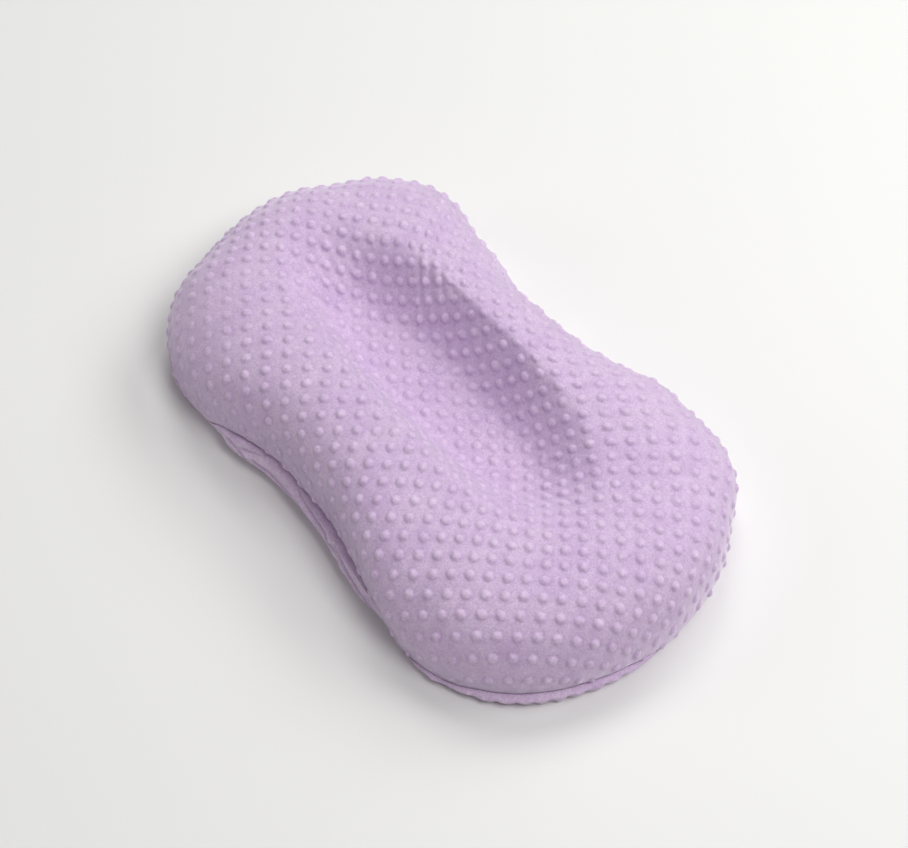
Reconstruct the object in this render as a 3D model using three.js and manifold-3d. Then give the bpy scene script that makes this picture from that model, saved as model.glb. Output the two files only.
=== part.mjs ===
// Infant lounger: a plump, hourglass-shaped pillow with a raised rim and a recess to lie in.
// A removable plush cover (upper panel, two bottom panels, zipper underneath) holds a sewn inner
// casing, which holds a ring of polyester fill round a thinner centre pad.
//
// Millimetres. +Z is up, +Y is the head end, and the origin is the middle of the outline on the
// surface that the lounger lies on.

import * as THREE from 'three';
import * as BufferGeometryUtils from 'three/addons/utils/BufferGeometryUtils.js';
import Module from 'manifold-3d';

// ---------------------------------------------------------------- driving dimensions
const LENGTH = 600;            // over the perimeter seam, head to foot
const SEAM_Z = 18;             // height of the perimeter seam at the two ends
const SEAM_RISE = 20;          // how much higher it runs along the sides of the waist
// outline: radius of the perimeter seam as a cosine series of the angle from the head end
const OUTLINE = [230, -12.62, 80.43, -0.86, -7.64, 0.70, -5.73, 0.35, 1.79];
const CREST_Z = { head: 112, side: 118, foot: 100 };      // height of the rim
const CREST = { side: 74, head: 220, foot: 204, power: 2.5 };   // half axes of the rim's crest line
const FLOOR = { side: 26, head: 112, foot: 104, power: 2.2 };   // half axes of the recess floor
const RECESS_Z = 66;           // height of the recess floor
const BOTTOM_TURN = 12;        // how far the bottom panel curls in from the seam to the ground

const PLUSH_T = 2.5;           // upper panel, backing and pile
const BOTTOM_T = 2.0;          // bottom panels
const CASING_T = 0.8;          // inner casing
const GAP = 0.3;               // between pieces that touch

const ZIP_LENGTH = 400;        // slot in the underside
const TAPE_LENGTH = 430;
const TAPE_OUT = 15;           // outer edge of a tape from the centre line
const TAPE_T = 0.6;
const COIL_IN = 0.8;           // inner and outer edge of one coil
const COIL_OUT = 3.2;
const COIL_LENGTH = 390;
const SLOT_HALF = 6.5;         // half the width of the slot between the bottom panels
const GROOVE_Z = 7;            // the underside is drawn up this far over the zipper
const GROOVE_FLAT = 16;        // half width of its flat top
const GROOVE_FOOT = 31;        // half width where it meets the ground
const GROOVE_Y_FLAT = 224;     // half length of the flat top
const GROOVE_Y_FOOT = 248;

const SLIDER_Y = -185;         // slider parked at the closed end
const TAB_LENGTH = 24;
const PIVOT_Z = 4.6;           // the pull tab's eye

// ---------------------------------------------------------------- solid helpers
const wasm = await Module();
wasm.setup();
const { Manifold } = wasm;

function toManifold(geometry) {
  const g = geometry.clone();
  g.deleteAttribute('normal');
  g.deleteAttribute('uv');
  const m = BufferGeometryUtils.mergeVertices(g, 1e-4);
  return new Manifold(new wasm.Mesh({
    numProp: 3,
    vertProperties: new Float32Array(m.attributes.position.array),
    triVerts: new Uint32Array(m.index.array),
  }));
}

function toGeometry(manifold) {
  const mesh = manifold.getMesh();
  const n = mesh.numProp;
  const pos = new Float32Array((mesh.vertProperties.length / n) * 3);
  for (let i = 0, j = 0; i < mesh.vertProperties.length; i += n) {
    pos[j++] = mesh.vertProperties[i];
    pos[j++] = mesh.vertProperties[i + 1];
    pos[j++] = mesh.vertProperties[i + 2];
  }
  const g = new THREE.BufferGeometry();
  g.setAttribute('position', new THREE.BufferAttribute(pos, 3));
  g.setIndex(new THREE.BufferAttribute(new Uint32Array(mesh.triVerts), 1));
  g.computeVertexNormals();
  return g;
}

function indexed(vertices, triangles) {
  const g = new THREE.BufferGeometry();
  g.setAttribute('position', new THREE.BufferAttribute(new Float32Array(vertices.flat()), 3));
  g.setIndex(triangles.flat());
  g.computeVertexNormals();
  return g;
}

function box(x0, x1, y0, y1, z0, z1) {
  const g = new THREE.BoxGeometry(x1 - x0, y1 - y0, z1 - z0);
  g.translate((x0 + x1) / 2, (y0 + y1) / 2, (z0 + z1) / 2);
  return g;
}

// a flat outline [[x, y], ...] extruded from z0 to z1
function slab(points, z0, z1) {
  const shape = new THREE.Shape(points.map(([x, y]) => new THREE.Vector2(x, y)));
  const g = new THREE.ExtrudeGeometry(shape, { depth: z1 - z0, bevelEnabled: false, steps: 1 });
  g.translate(0, 0, z0);
  return g;
}

// ---------------------------------------------------------------- outline and height field
const N = 48;                  // points round the outline

function seamRadius(psi) {
  return OUTLINE.reduce((s, a, k) => s + a * Math.cos(k * psi), 0);
}

// psi runs from the head end (+Y) towards +X
const dense = [];
for (let i = 0; i < 1440; i++) {
  const psi = (i / 1440) * 2 * Math.PI;
  const r = seamRadius(psi);
  dense.push([r * Math.sin(psi), r * Math.cos(psi)]);
}
const ys = dense.map((p) => p[1]);
const SCALE = LENGTH / (Math.max(...ys) - Math.min(...ys));
const SHIFT = -SCALE * (Math.max(...ys) + Math.min(...ys)) / 2;
for (const p of dense) { p[0] *= SCALE; p[1] = p[1] * SCALE + SHIFT; }

// evenly spaced points along the outline, symmetric about X = 0
function evenly(points, n) {
  const len = [0];
  for (let i = 1; i <= points.length; i++) {
    const a = points[i - 1], b = points[i % points.length];
    len.push(len[i - 1] + Math.hypot(b[0] - a[0], b[1] - a[1]));
  }
  const total = len[points.length];
  const out = [];
  let k = 0;
  for (let i = 0; i < n; i++) {
    const s = (i / n) * total;
    while (len[k + 1] <= s) k++;
    const t = (s - len[k]) / (len[k + 1] - len[k]);
    const a = points[k], b = points[(k + 1) % points.length];
    out.push([a[0] + (b[0] - a[0]) * t, a[1] + (b[1] - a[1]) * t]);
  }
  out[0][0] = 0;
  out[n / 2][0] = 0;
  for (let i = 1; i < n / 2; i++) out[n - i] = [-out[i][0], out[i][1]];
  return out;
}
const seam = evenly(dense, N);

// inward normals of the outline in plan; it runs clockwise seen from above
const inward = seam.map((p, i) => {
  const a = seam[(i + N - 1) % N], b = seam[(i + 1) % N];
  const tx = b[0] - a[0], ty = b[1] - a[1], l = Math.hypot(tx, ty);
  return [ty / l, -tx / l];
});

const smooth = (t) => { const u = Math.min(1, Math.max(0, t)); return u * u * (3 - 2 * u); };
// height of the rim, which changes from the foot end to the sides and to the head end
function crestZ(y) {
  return y > 0
    ? CREST_Z.side + (CREST_Z.head - CREST_Z.side) * smooth((y - 20) / 180)
    : CREST_Z.side + (CREST_Z.foot - CREST_Z.side) * smooth((-y - 20) / 170);
}

// the seam is drawn up along the waist
const seamZ = seam.map((p) => SEAM_Z + SEAM_RISE * smooth((p[1] + 160) / 60) * smooth((195 - p[1]) / 85));

// an oval with squarish ends: the point that answers point p of the seam
function oval(o, p) {
  const a = Math.atan2(p[0] / 176, p[1] / (LENGTH / 2));
  const sx = Math.sin(a), cy = Math.cos(a);
  const ay = cy > 0 ? o.head : o.foot;
  return [
    Math.sign(sx) * o.side * Math.abs(sx) ** (2 / o.power),
    Math.sign(cy) * ay * Math.abs(cy) ** (2 / o.power)];
}
const crest = seam.map((p) => oval(CREST, p));
const floor = seam.map((p) => oval(FLOOR, p));
for (const i of [0, N / 2]) { crest[i][0] = 0; floor[i][0] = 0; }
const mix = (a, b, t) => [a[0] + (b[0] - a[0]) * t, a[1] + (b[1] - a[1]) * t];

// the wall between the fill ring and the centre pad stands on this curve
function baffleCurve(offset) {
  const q = crest.map((p, i) => mix(p, floor[i], 0.86));
  return q.map((p, i) => {
    const a = q[(i + N - 1) % N], b = q[(i + 1) % N];
    const tx = b[0] - a[0], ty = b[1] - a[1], l = Math.hypot(tx, ty);
    return [p[0] - ty / l * offset, p[1] + tx / l * offset];
  });
}

// rings of the upper surface, from the seam over the crest to the middle of the recess
const OUTER_RINGS = 8, INNER_RINGS = 5, FLOOR_RINGS = 2;
const rings = [];
for (let j = 0; j <= OUTER_RINGS; j++) {
  const a = (j / OUTER_RINGS) * Math.PI / 2;
  rings.push(seam.map((p, i) => [
    ...mix(p, crest[i], 1 - Math.cos(a)),
    seamZ[i] + 0.6 + (crestZ(crest[i][1]) - seamZ[i] - 0.6) * Math.sin(a)]));
}
for (let j = 1; j <= INNER_RINGS; j++) {
  const t = j / INNER_RINGS;
  rings.push(crest.map((p, i) => [
    ...mix(p, floor[i], t),
    RECESS_Z + (crestZ(p[1]) - RECESS_Z) * (0.5 + 0.5 * Math.cos(Math.PI * t))]));
}
const lastWall = rings[rings.length - 1];
for (let j = 1; j <= FLOOR_RINGS; j++) {
  const t = 1 - j / (FLOOR_RINGS + 1);
  rings.push(lastWall.map((p) => [p[0] * t, p[1] * t, RECESS_Z]));
}
const MIDDLE = [0, 0, RECESS_Z];

// smooth normals of that surface, to set the layers under it at an even depth
function ringNormals(rows, middle) {
  const n = rows.map((row) => row.map(() => new THREE.Vector3()));
  const mid = new THREE.Vector3();
  const tri = (a, b, c, list) => {
    const A = new THREE.Vector3(...a), B = new THREE.Vector3(...b), C = new THREE.Vector3(...c);
    const f = B.sub(A).cross(C.sub(A));
    for (const v of list) v.add(f);
  };
  for (let j = 0; j + 1 < rows.length; j++) {
    for (let i = 0; i < N; i++) {
      const k = (i + 1) % N;
      tri(rows[j][i], rows[j + 1][i], rows[j][k], [n[j][i], n[j + 1][i], n[j][k]]);
      tri(rows[j][k], rows[j + 1][i], rows[j + 1][k], [n[j][k], n[j + 1][i], n[j + 1][k]]);
    }
  }
  const L = rows.length - 1;
  for (let i = 0; i < N; i++) {
    const k = (i + 1) % N;
    tri(rows[L][i], middle, rows[L][k], [n[L][i], mid, n[L][k]]);
  }
  for (const row of n) for (const v of row) v.normalize();
  if (n[L][0].z < 0) for (const row of n) for (const v of row) v.negate();
  // at the seam the surface stands upright, so its normal is level there
  for (const v of n[0]) { v.z = 0; v.normalize(); }
  return n;
}
const normals = ringNormals(rings, MIDDLE);

function layer(depth) {
  return {
    rows: rings.map((row, j) => row.map((p, i) => [
      p[0] - normals[j][i].x * depth, p[1] - normals[j][i].y * depth, p[2] - normals[j][i].z * depth])),
    middle: [0, 0, RECESS_Z - depth],
  };
}

// closed solid between two stacks of rings that share their number of points
function shell(outer, inner) {
  const v = [], t = [];
  const add = (p) => { v.push(p); return v.length - 1; };
  const o = outer.rows.map((row) => row.map(add)), om = add(outer.middle);
  const q = inner.rows.map((row) => row.map(add)), qm = add(inner.middle);
  const L = o.length - 1;
  for (let i = 0; i < N; i++) {
    const k = (i + 1) % N;
    for (let j = 0; j < L; j++) {
      t.push([o[j][i], o[j][k], o[j + 1][i]], [o[j][k], o[j + 1][k], o[j + 1][i]]);
      t.push([q[j][i], q[j + 1][i], q[j][k]], [q[j][k], q[j + 1][i], q[j + 1][k]]);
    }
    t.push([o[L][i], o[L][k], om], [q[L][i], qm, q[L][k]]);
    t.push([o[0][i], q[0][i], o[0][k]], [o[0][k], q[0][i], q[0][k]]);
  }
  return flipIfInsideOut(v, t);
}

function flipIfInsideOut(v, t) {
  let vol = 0;
  for (const [a, b, c] of t) {
    const A = v[a], B = v[b], C = v[c];
    vol += A[0] * (B[1] * C[2] - B[2] * C[1]) - A[1] * (B[0] * C[2] - B[2] * C[0])
      + A[2] * (B[0] * C[1] - B[1] * C[0]);
  }
  return indexed(v, vol < 0 ? t.map(([a, b, c]) => [a, c, b]) : t);
}

// rings of the underside, from the seam down and in to the ground at height z0
function bottomLayer(depth, z0) {
  const STEPS = 4;
  const rows = [];
  for (let j = 0; j <= STEPS; j++) {
    const a = (j / STEPS) * Math.PI / 2;
    rows.push(seam.map((p, i) => {
      const d = depth + (BOTTOM_TURN - depth) * (1 - Math.cos(a));
      return [p[0] + inward[i][0] * d, p[1] + inward[i][1] * d,
        z0 + (seamZ[i] - 0.6 - z0) * (1 - Math.sin(a))];
    }));
  }
  return { rows, middle: [0, 0, z0] };
}

// closed solid from a bottom layer up to a lid that stands `lid` above the seam
function dish(depth, z0, lid) {
  const b = bottomLayer(depth, z0);
  const v = [], t = [];
  const add = (p) => { v.push(p); return v.length - 1; };
  const rows = b.rows.map((row) => row.map(add)), m = add(b.middle);
  const top = b.rows[0].map((p, i) => add([p[0], p[1], seamZ[i] + lid])), tm = add([0, 0, SEAM_Z + lid]);
  const L = rows.length - 1;
  for (let i = 0; i < N; i++) {
    const k = (i + 1) % N;
    for (let j = 0; j < L; j++) {
      t.push([rows[j][i], rows[j + 1][i], rows[j][k]], [rows[j][k], rows[j + 1][i], rows[j + 1][k]]);
    }
    t.push([rows[L][i], m, rows[L][k]]);
    t.push([rows[0][i], rows[0][k], top[k]], [rows[0][i], top[k], top[i]]);
    t.push([top[i], top[k], tm]);
  }
  return flipIfInsideOut(v, t);
}

// the space drawn up over the zipper: a long hipped ridge, grown by g on every side
function ridge(g) {
  const x0 = GROOVE_FOOT + g, x1 = GROOVE_FLAT + g, z1 = GROOVE_Z + g;
  const y0 = GROOVE_Y_FOOT + g, y1 = GROOVE_Y_FLAT + g;
  const base = -20;
  // the sloping sides go on down below the ground, so the cut is clean
  const k = (x0 - x1) / GROOVE_Z, ky = (y0 - y1) / GROOVE_Z;
  const bx = x1 + k * (z1 - base), by = y1 + ky * (z1 - base);
  const v = [
    [-bx, -by, base], [bx, -by, base], [bx, by, base], [-bx, by, base],
    [-x1, -y1, z1], [x1, -y1, z1], [x1, y1, z1], [-x1, y1, z1]];
  const t = [[0, 2, 1], [0, 3, 2], [4, 5, 6], [4, 6, 7],
    [0, 1, 5], [0, 5, 4], [1, 2, 6], [1, 6, 5], [2, 3, 7], [2, 7, 6], [3, 0, 4], [3, 4, 7]];
  return flipIfInsideOut(v, t);
}

// a strip that follows the seam, between two insets and two heights above it
function seamRing(d0, d1, z0, z1) {
  const v = [], t = [];
  const add = (p) => { v.push(p); return v.length - 1; };
  const at = (d, z) => seam.map((p, i) => add([p[0] + inward[i][0] * d, p[1] + inward[i][1] * d, seamZ[i] + z]));
  const a = at(d0, z0), b = at(d0, z1), c = at(d1, z1), e = at(d1, z0);
  const q = (r, s) => {
    for (let i = 0; i < N; i++) {
      const k = (i + 1) % N;
      t.push([r[i], r[k], s[k]], [r[i], s[k], s[i]]);
    }
  };
  q(a, b); q(b, c); q(c, e); q(e, a);
  return flipIfInsideOut(v, t);
}

// ---------------------------------------------------------------- materials
const paint = (color, roughness, metalness = 0) => new THREE.MeshStandardMaterial({ color, roughness, metalness });
const plush = paint(0xc3aac9, 0.95);
const plushUnder = paint(0xbda4c4, 0.95);
const thread = paint(0xb49abb, 0.85);
const casingCloth = paint(0xf1efea, 0.9);
const fibre = paint(0xf8f8f6, 1.0);
const tapeCloth = paint(0xb9a3c0, 0.9);
const nylon = paint(0xb7a0bf, 0.45);
const metal = paint(0xc9c6cc, 0.35, 0.9);
const satin = paint(0xf6f4f1, 0.6);

const lounger = new THREE.Group();
lounger.name = 'infant_lounger';
function node(name, geometry, material, parent = lounger) {
  const mesh = new THREE.Mesh(geometry, material);
  mesh.name = name;
  parent.add(mesh);
  return mesh;
}

// ---------------------------------------------------------------- cover
const cover = new THREE.Group();
lounger.add(cover);

node('cover_top_panel', shell(layer(0), layer(PLUSH_T)), plush, cover);

// the underside as one dish of even thickness, drawn up over the zipper and slit along it
const bottomOuter = toManifold(dish(0, 0, -0.6));
const bottomInner = toManifold(dish(BOTTOM_T, BOTTOM_T, 5));
const ridgeOut = toManifold(ridge(0));
const ridgeIn = toManifold(ridge(BOTTOM_T));
const slot = toManifold(box(-SLOT_HALF, SLOT_HALF, -ZIP_LENGTH / 2, ZIP_LENGTH / 2, -5, 20));
const split = toManifold(box(-GAP / 2, GAP / 2, -400, 400, -5, 40));
const bottom = bottomOuter.subtract(bottomInner)
  .add(ridgeIn.intersect(bottomOuter))
  .subtract(ridgeOut)
  .subtract(slot)
  .subtract(split);
const halfSpace = (side) => toManifold(side < 0 ? box(-400, 0, -400, 400, -10, 60) : box(0, 400, -400, 400, -10, 60));
node('cover_bottom_panel_left', toGeometry(bottom.intersect(halfSpace(-1))), plushUnder, cover);
node('cover_bottom_panel_right', toGeometry(bottom.intersect(halfSpace(1))), plushUnder, cover);

node('perimeter_seam_overlock', seamRing(0, PLUSH_T - 0.1, -0.3, 0.3), thread, cover);

// a blank folded tag, hanging from the seam at the right-hand waist
{
  const pts = [[0, 18.2], [5, 16.8], [9, 13], [11.5, 7.5], [13, 1.5], [14, -5]];
  const t = 0.45;
  const up = pts.map(([a, z], i) => {
    const p = pts[Math.max(0, i - 1)], q = pts[Math.min(pts.length - 1, i + 1)];
    const l = Math.hypot(q[0] - p[0], q[1] - p[1]);
    return [a + (-(q[1] - p[1]) / l) * t, z + ((q[0] - p[0]) / l) * t];
  });
  const down = pts.map(([a, z], i) => {
    const p = pts[Math.max(0, i - 1)], q = pts[Math.min(pts.length - 1, i + 1)];
    const l = Math.hypot(q[0] - p[0], q[1] - p[1]);
    return [a - (-(q[1] - p[1]) / l) * t, z - ((q[0] - p[0]) / l) * t];
  });
  const g = slab([...up, ...down.reverse()], -12, 12);
  g.rotateX(Math.PI / 2);                     // profile upright, width along Y
  const i = seam.reduce((b, p, k) => (p[0] > 0 && Math.abs(p[1] - 24) < Math.abs(seam[b][1] - 24) ? k : b), 6);
  const tag = node('care_tag', g, satin, cover);
  tag.position.set(seam[i][0] - inward[i][0] * 2.0, seam[i][1] - inward[i][1] * 2.0, seamZ[i] - SEAM_Z);
  tag.rotation.z = Math.atan2(-inward[i][1], -inward[i][0]);
}

// ---------------------------------------------------------------- zipper
const zipper = new THREE.Group();
lounger.add(zipper);
const TAPE_Z = GROOVE_Z + BOTTOM_T + GAP;     // underside of the tapes
const COIL_Z0 = TAPE_Z - GAP - 1.8, COIL_Z1 = TAPE_Z - GAP;

for (const [side, name] of [[-1, 'left'], [1, 'right']]) {
  const x = (a, b) => (side > 0 ? [a, b] : [-b, -a]);
  node(`zipper_tape_${name}`,
    box(...x(1.0, TAPE_OUT), -TAPE_LENGTH / 2, TAPE_LENGTH / 2, TAPE_Z, TAPE_Z + TAPE_T), tapeCloth, zipper);
  // coil: a bar of flattened oval section
  const oval = [];
  for (let i = 0; i < 10; i++) {
    const a = (i / 10) * 2 * Math.PI;
    oval.push(new THREE.Vector2((COIL_OUT - COIL_IN) / 2 * Math.cos(a), (COIL_Z1 - COIL_Z0) / 2 * Math.sin(a)));
  }
  const bar = new THREE.ExtrudeGeometry(new THREE.Shape(oval), { depth: COIL_LENGTH, bevelEnabled: false });
  bar.rotateX(Math.PI / 2);
  bar.translate(side * (COIL_IN + COIL_OUT) / 2, COIL_LENGTH / 2, (COIL_Z0 + COIL_Z1) / 2);
  node(`zipper_coil_${name}`, bar, nylon, zipper);
  node(`zipper_stitching_${name}`, box(...x(9.4, 10.2), -212, 212, GROOVE_Z - 0.8, GROOVE_Z - 0.3), thread, zipper);
  // top stop: a clip folded over the inner edge of the tape
  const clipOuter = toManifold(box(...x(0.3, 3.6), -199, -196, COIL_Z0, TAPE_Z + TAPE_T + GAP + 0.8));
  const clipSlot = toManifold(box(...x(0.7, 9), -205, -190, TAPE_Z - GAP, TAPE_Z + TAPE_T + GAP));
  node(`zipper_top_stop_${name}`, toGeometry(clipOuter.subtract(clipSlot)), metal, zipper);
}
{
  // bottom stop: one clip across both tapes
  const z1 = TAPE_Z + TAPE_T + GAP + 0.8;
  const outer = toManifold(box(-3.6, 3.6, 196, 199.4, COIL_Z0, z1));
  const cut = toManifold(box(0.6, 9, 190, 205, TAPE_Z - GAP, TAPE_Z + TAPE_T + GAP))
    .add(toManifold(box(-9, -0.6, 190, 205, TAPE_Z - GAP, TAPE_Z + TAPE_T + GAP)));
  node('zipper_bottom_stop', toGeometry(outer.subtract(cut)), metal, zipper);
}
node('zipper_bar_tack_head', box(-8, 8, 204, 206.4, GROOVE_Z - 0.8, GROOVE_Z - 0.3), thread, zipper);
node('zipper_bar_tack_foot', box(-8, 8, -206.4, -204, GROOVE_Z - 0.8, GROOVE_Z - 0.3), thread, zipper);

// slider: a lower plate with raised flanges, an upper plate inside the cover, the web between the
// coils that joins them, and a bail under the lower plate that carries the pull tab
{
  const plan = (w0, w1, l) => {                // wide end towards -Y
    const out = [];
    for (const [cx, cy, r, a0, a1] of [
      [w0 - 1.8, -l + 1.8, 1.8, -90, 0], [w1 - 1.4, l - 1.4, 1.4, 0, 90],
      [-(w1 - 1.4), l - 1.4, 1.4, 90, 180], [-(w0 - 1.8), -l + 1.8, 1.8, 180, 270]]) {
      for (let i = 0; i <= 3; i++) {
        const a = (a0 + (a1 - a0) * i / 3) * Math.PI / 180;
        out.push([cx + r * Math.cos(a), cy + r * Math.sin(a)]);
      }
    }
    return out;
  };
  const L = 6;
  const lower = toManifold(slab(plan(5.4, 4.9, L), COIL_Z0 - 1.6, COIL_Z1 - 0.2));
  const channel = toManifold(box(-3.7, 3.7, -20, 20, COIL_Z0 - 0.4, 20));
  const upper = toManifold(slab(plan(4.9, 4.2, L - 0.4), TAPE_Z + TAPE_T + GAP + 0.1, TAPE_Z + TAPE_T + GAP + 1.2));
  const web = toManifold(box(-0.35, 0.35, -2.2, 2.2, COIL_Z0 - 1.2, TAPE_Z + TAPE_T + GAP + 0.6));
  // bail: an arch along Y, 2 mm wide
  const zPlate = COIL_Z0 - 1.6;
  const arch = new THREE.Shape([
    [-3.7, zPlate + 0.4], [-3.7, zPlate - 1.5], [-2.7, zPlate - 2.7], [2.7, zPlate - 2.7],
    [3.7, zPlate - 1.5], [3.7, zPlate + 0.4]].map(([a, b]) => new THREE.Vector2(a, b)));
  arch.holes.push(new THREE.Path([
    [-2.4, zPlate - 0.001], [2.4, zPlate - 0.001], [2.4, zPlate - 1.2], [1.7, zPlate - 1.9],
    [-1.7, zPlate - 1.9], [-2.4, zPlate - 1.2]].map(([a, b]) => new THREE.Vector2(a, b))));
  const archGeo = new THREE.ExtrudeGeometry(arch, { depth: 2, bevelEnabled: false });
  archGeo.translate(0, 0, -1);
  // shape x -> Y, shape y -> Z, depth -> X
  const m = new THREE.Matrix4().set(0, 0, 1, 0, 1, 0, 0, 0, 0, 1, 0, 0, 0, 0, 0, 1);
  archGeo.applyMatrix4(m);
  const slider = lower.subtract(channel).add(upper).add(web).add(toManifold(archGeo));
  const s = node('zipper_slider', toGeometry(slider), metal, zipper);
  s.position.y = SLIDER_Y;

  // pull tab: a round crossbar through the bail, two arms, and a flat rounded tab with a hole
  const T = 1.2, R = 0.6;
  const bar = new THREE.CylinderGeometry(R, R, 6.4, 12);
  bar.rotateZ(Math.PI / 2);
  const tabShape = new THREE.Shape();
  tabShape.moveTo(-3.2, 0);
  tabShape.lineTo(-3.2, 9);
  tabShape.quadraticCurveTo(-3.2, 11, -2.8, 13);
  tabShape.lineTo(-2.8, TAB_LENGTH - 2.8);
  tabShape.absarc(0, TAB_LENGTH - 2.8, 2.8, Math.PI, 0, true);
  tabShape.lineTo(2.8, 13);
  tabShape.quadraticCurveTo(3.2, 11, 3.2, 9);
  tabShape.lineTo(3.2, 0);
  tabShape.closePath();
  const tabGeo = new THREE.ExtrudeGeometry(tabShape, { depth: T, bevelEnabled: false, curveSegments: 6 });
  tabGeo.translate(0, 0, -T / 2);
  const hole = new THREE.CylinderGeometry(1.3, 1.3, 6, 12);
  hole.rotateX(Math.PI / 2);
  hole.translate(0, TAB_LENGTH - 3, 0);
  const eye = toManifold(box(-1.6, 1.6, -3, 4.6, -3, 3));
  const tab = toManifold(tabGeo).subtract(eye).subtract(toManifold(hole)).add(toManifold(bar));
  const tabMesh = node('zipper_pull_tab', toGeometry(tab), metal, zipper);
  tabMesh.position.set(0, SLIDER_Y, PIVOT_Z);
}

// ---------------------------------------------------------------- inner casing and fill
const inner = new THREE.Group();
lounger.add(inner);
const CAS_TOP = PLUSH_T + GAP, CAS_BOT = BOTTOM_T + GAP;
const RIDGE_CAS = 5.0;                        // the casing clears the zipper's inner side
node('casing_top_panel', shell(layer(CAS_TOP), layer(CAS_TOP + CASING_T)), casingCloth, inner);
{
  const outer = toManifold(dish(CAS_TOP, CAS_BOT, -0.6));
  const innerDish = toManifold(dish(CAS_TOP + CASING_T, CAS_BOT + CASING_T, 5));
  const bottomCasing = outer.subtract(innerDish)
    .add(toManifold(ridge(RIDGE_CAS + CASING_T)).intersect(outer))
    .subtract(toManifold(ridge(RIDGE_CAS)));
  node('casing_bottom_panel', toGeometry(bottomCasing), casingCloth, inner);
}
node('casing_seam_overlock', seamRing(CAS_TOP, CAS_TOP + CASING_T, -0.3, 0.3), casingCloth, inner);

// the fill as one closed solid under the casing, then parted by the baffle
{
  const depthTop = CAS_TOP + CASING_T + GAP, depthBottom = CAS_BOT + CASING_T + GAP;
  const top = layer(depthTop);
  const low = bottomLayer(depthTop, depthBottom);
  const v = [], t = [];
  const add = (p) => { v.push(p); return v.length - 1; };
  const o = top.rows.map((row) => row.map(add)), om = add(top.middle);
  const b = low.rows.map((row) => row.map(add)), bm = add(low.middle);
  const L = o.length - 1, B = b.length - 1;
  for (let i = 0; i < N; i++) {
    const k = (i + 1) % N;
    for (let j = 0; j < L; j++) t.push([o[j][i], o[j][k], o[j + 1][i]], [o[j][k], o[j + 1][k], o[j + 1][i]]);
    t.push([o[L][i], o[L][k], om]);
    for (let j = 0; j < B; j++) t.push([b[j][i], b[j + 1][i], b[j][k]], [b[j][k], b[j + 1][i], b[j + 1][k]]);
    t.push([b[B][i], bm, b[B][k]]);
    t.push([o[0][i], b[0][i], o[0][k]], [o[0][k], b[0][i], b[0][k]]);
  }
  const whole = toManifold(flipIfInsideOut(v, t)).subtract(toManifold(ridge(RIDGE_CAS + CASING_T + GAP)));
  const column = (offset) => toManifold(slab(baffleCurve(offset), -10, 200));
  node('fill_ring', toGeometry(whole.subtract(column(0.9))), fibre, inner);
  node('recess_baffle', toGeometry(whole.intersect(column(0.5)).subtract(column(-0.5))), casingCloth, inner);
  node('fill_centre_pad', toGeometry(whole.intersect(column(-0.9))), fibre, inner);
}

export default lounger;
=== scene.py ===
"""Infant lounger: the looks of the plush cover, its seam and zipper, and the casing and filling inside it."""

import math

import bpy
import numpy as np
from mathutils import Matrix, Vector
from mathutils.geometry import delaunay_2d_cdt
from mathutils.kdtree import KDTree


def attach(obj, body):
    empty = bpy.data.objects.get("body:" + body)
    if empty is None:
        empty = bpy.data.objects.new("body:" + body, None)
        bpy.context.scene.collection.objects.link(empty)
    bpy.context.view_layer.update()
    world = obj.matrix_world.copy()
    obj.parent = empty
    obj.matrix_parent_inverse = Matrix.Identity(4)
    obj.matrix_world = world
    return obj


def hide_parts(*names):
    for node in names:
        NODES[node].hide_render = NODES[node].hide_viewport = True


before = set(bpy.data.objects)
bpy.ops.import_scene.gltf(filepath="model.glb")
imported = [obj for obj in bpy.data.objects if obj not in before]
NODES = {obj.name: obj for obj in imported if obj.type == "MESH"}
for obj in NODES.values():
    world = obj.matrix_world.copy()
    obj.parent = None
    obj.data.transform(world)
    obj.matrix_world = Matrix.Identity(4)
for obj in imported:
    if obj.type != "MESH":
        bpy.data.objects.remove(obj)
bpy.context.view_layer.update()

# ------------------------------------------------------------------ driving dimensions, millimetres
LENGTH = 600.0
SEAM_Z, SEAM_RISE = 18.0, 20.0
OUTLINE = (230, -12.62, 80.43, -0.86, -7.64, 0.70, -5.73, 0.35, 1.79)
CREST_Z = dict(head=112.0, side=118.0, foot=100.0)
CREST = dict(side=74.0, head=220.0, foot=204.0, power=2.5)
FLOOR = dict(side=26.0, head=112.0, foot=104.0, power=2.2)
RECESS_Z = 66.0
BOTTOM_TURN = 12.0
SLOT_HALF, SLOT_Y = 6.5, 200.0
GROOVE_Z, GROOVE_FLAT, GROOVE_FOOT, GROOVE_Y_FLAT, GROOVE_Y_FOOT = 7.0, 16.0, 31.0, 224.0, 248.0
PLUSH_T, BOTTOM_T, CASING_T, GAP = 2.5, 2.0, 0.8, 0.3
PITCH = 16.5                 # between the raised dots, along the rows
DOT_R = 4.9                 # radius of a dot at its foot
DOT_H = 2.25                  # height of a dot
# the rows of dots on the stretched upper panel, counted as smooth functions of the place on the flat cloth
TERMS = tuple((i, j) for i in range(6) for j in range(6 - i) if i + j)
ROWS_A = (9.241, -1.201, 0.110, 0.308, -0.060, 8.859, -0.191, 0.605, 0.024, -0.249,
          -0.561, -0.054, 0.401, -0.099, -1.039, 0.931, -0.469, -0.189, -0.068, 0.486)
ROWS_B = (8.868, -0.053, -0.301, 0.037, 0.026, -11.232, -0.415, 1.215, 0.019, -0.216,
          -0.412, -1.291, 0.075, 0.458, 2.468, 0.029, -0.559, -0.160, 0.038, -0.431)
ROWS_AT = (0.0, 0.0)


# ------------------------------------------------------------------ numbers
def smooth(t):
    t = np.clip(t, 0, 1)
    return t * t * (3 - 2 * t)


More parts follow.
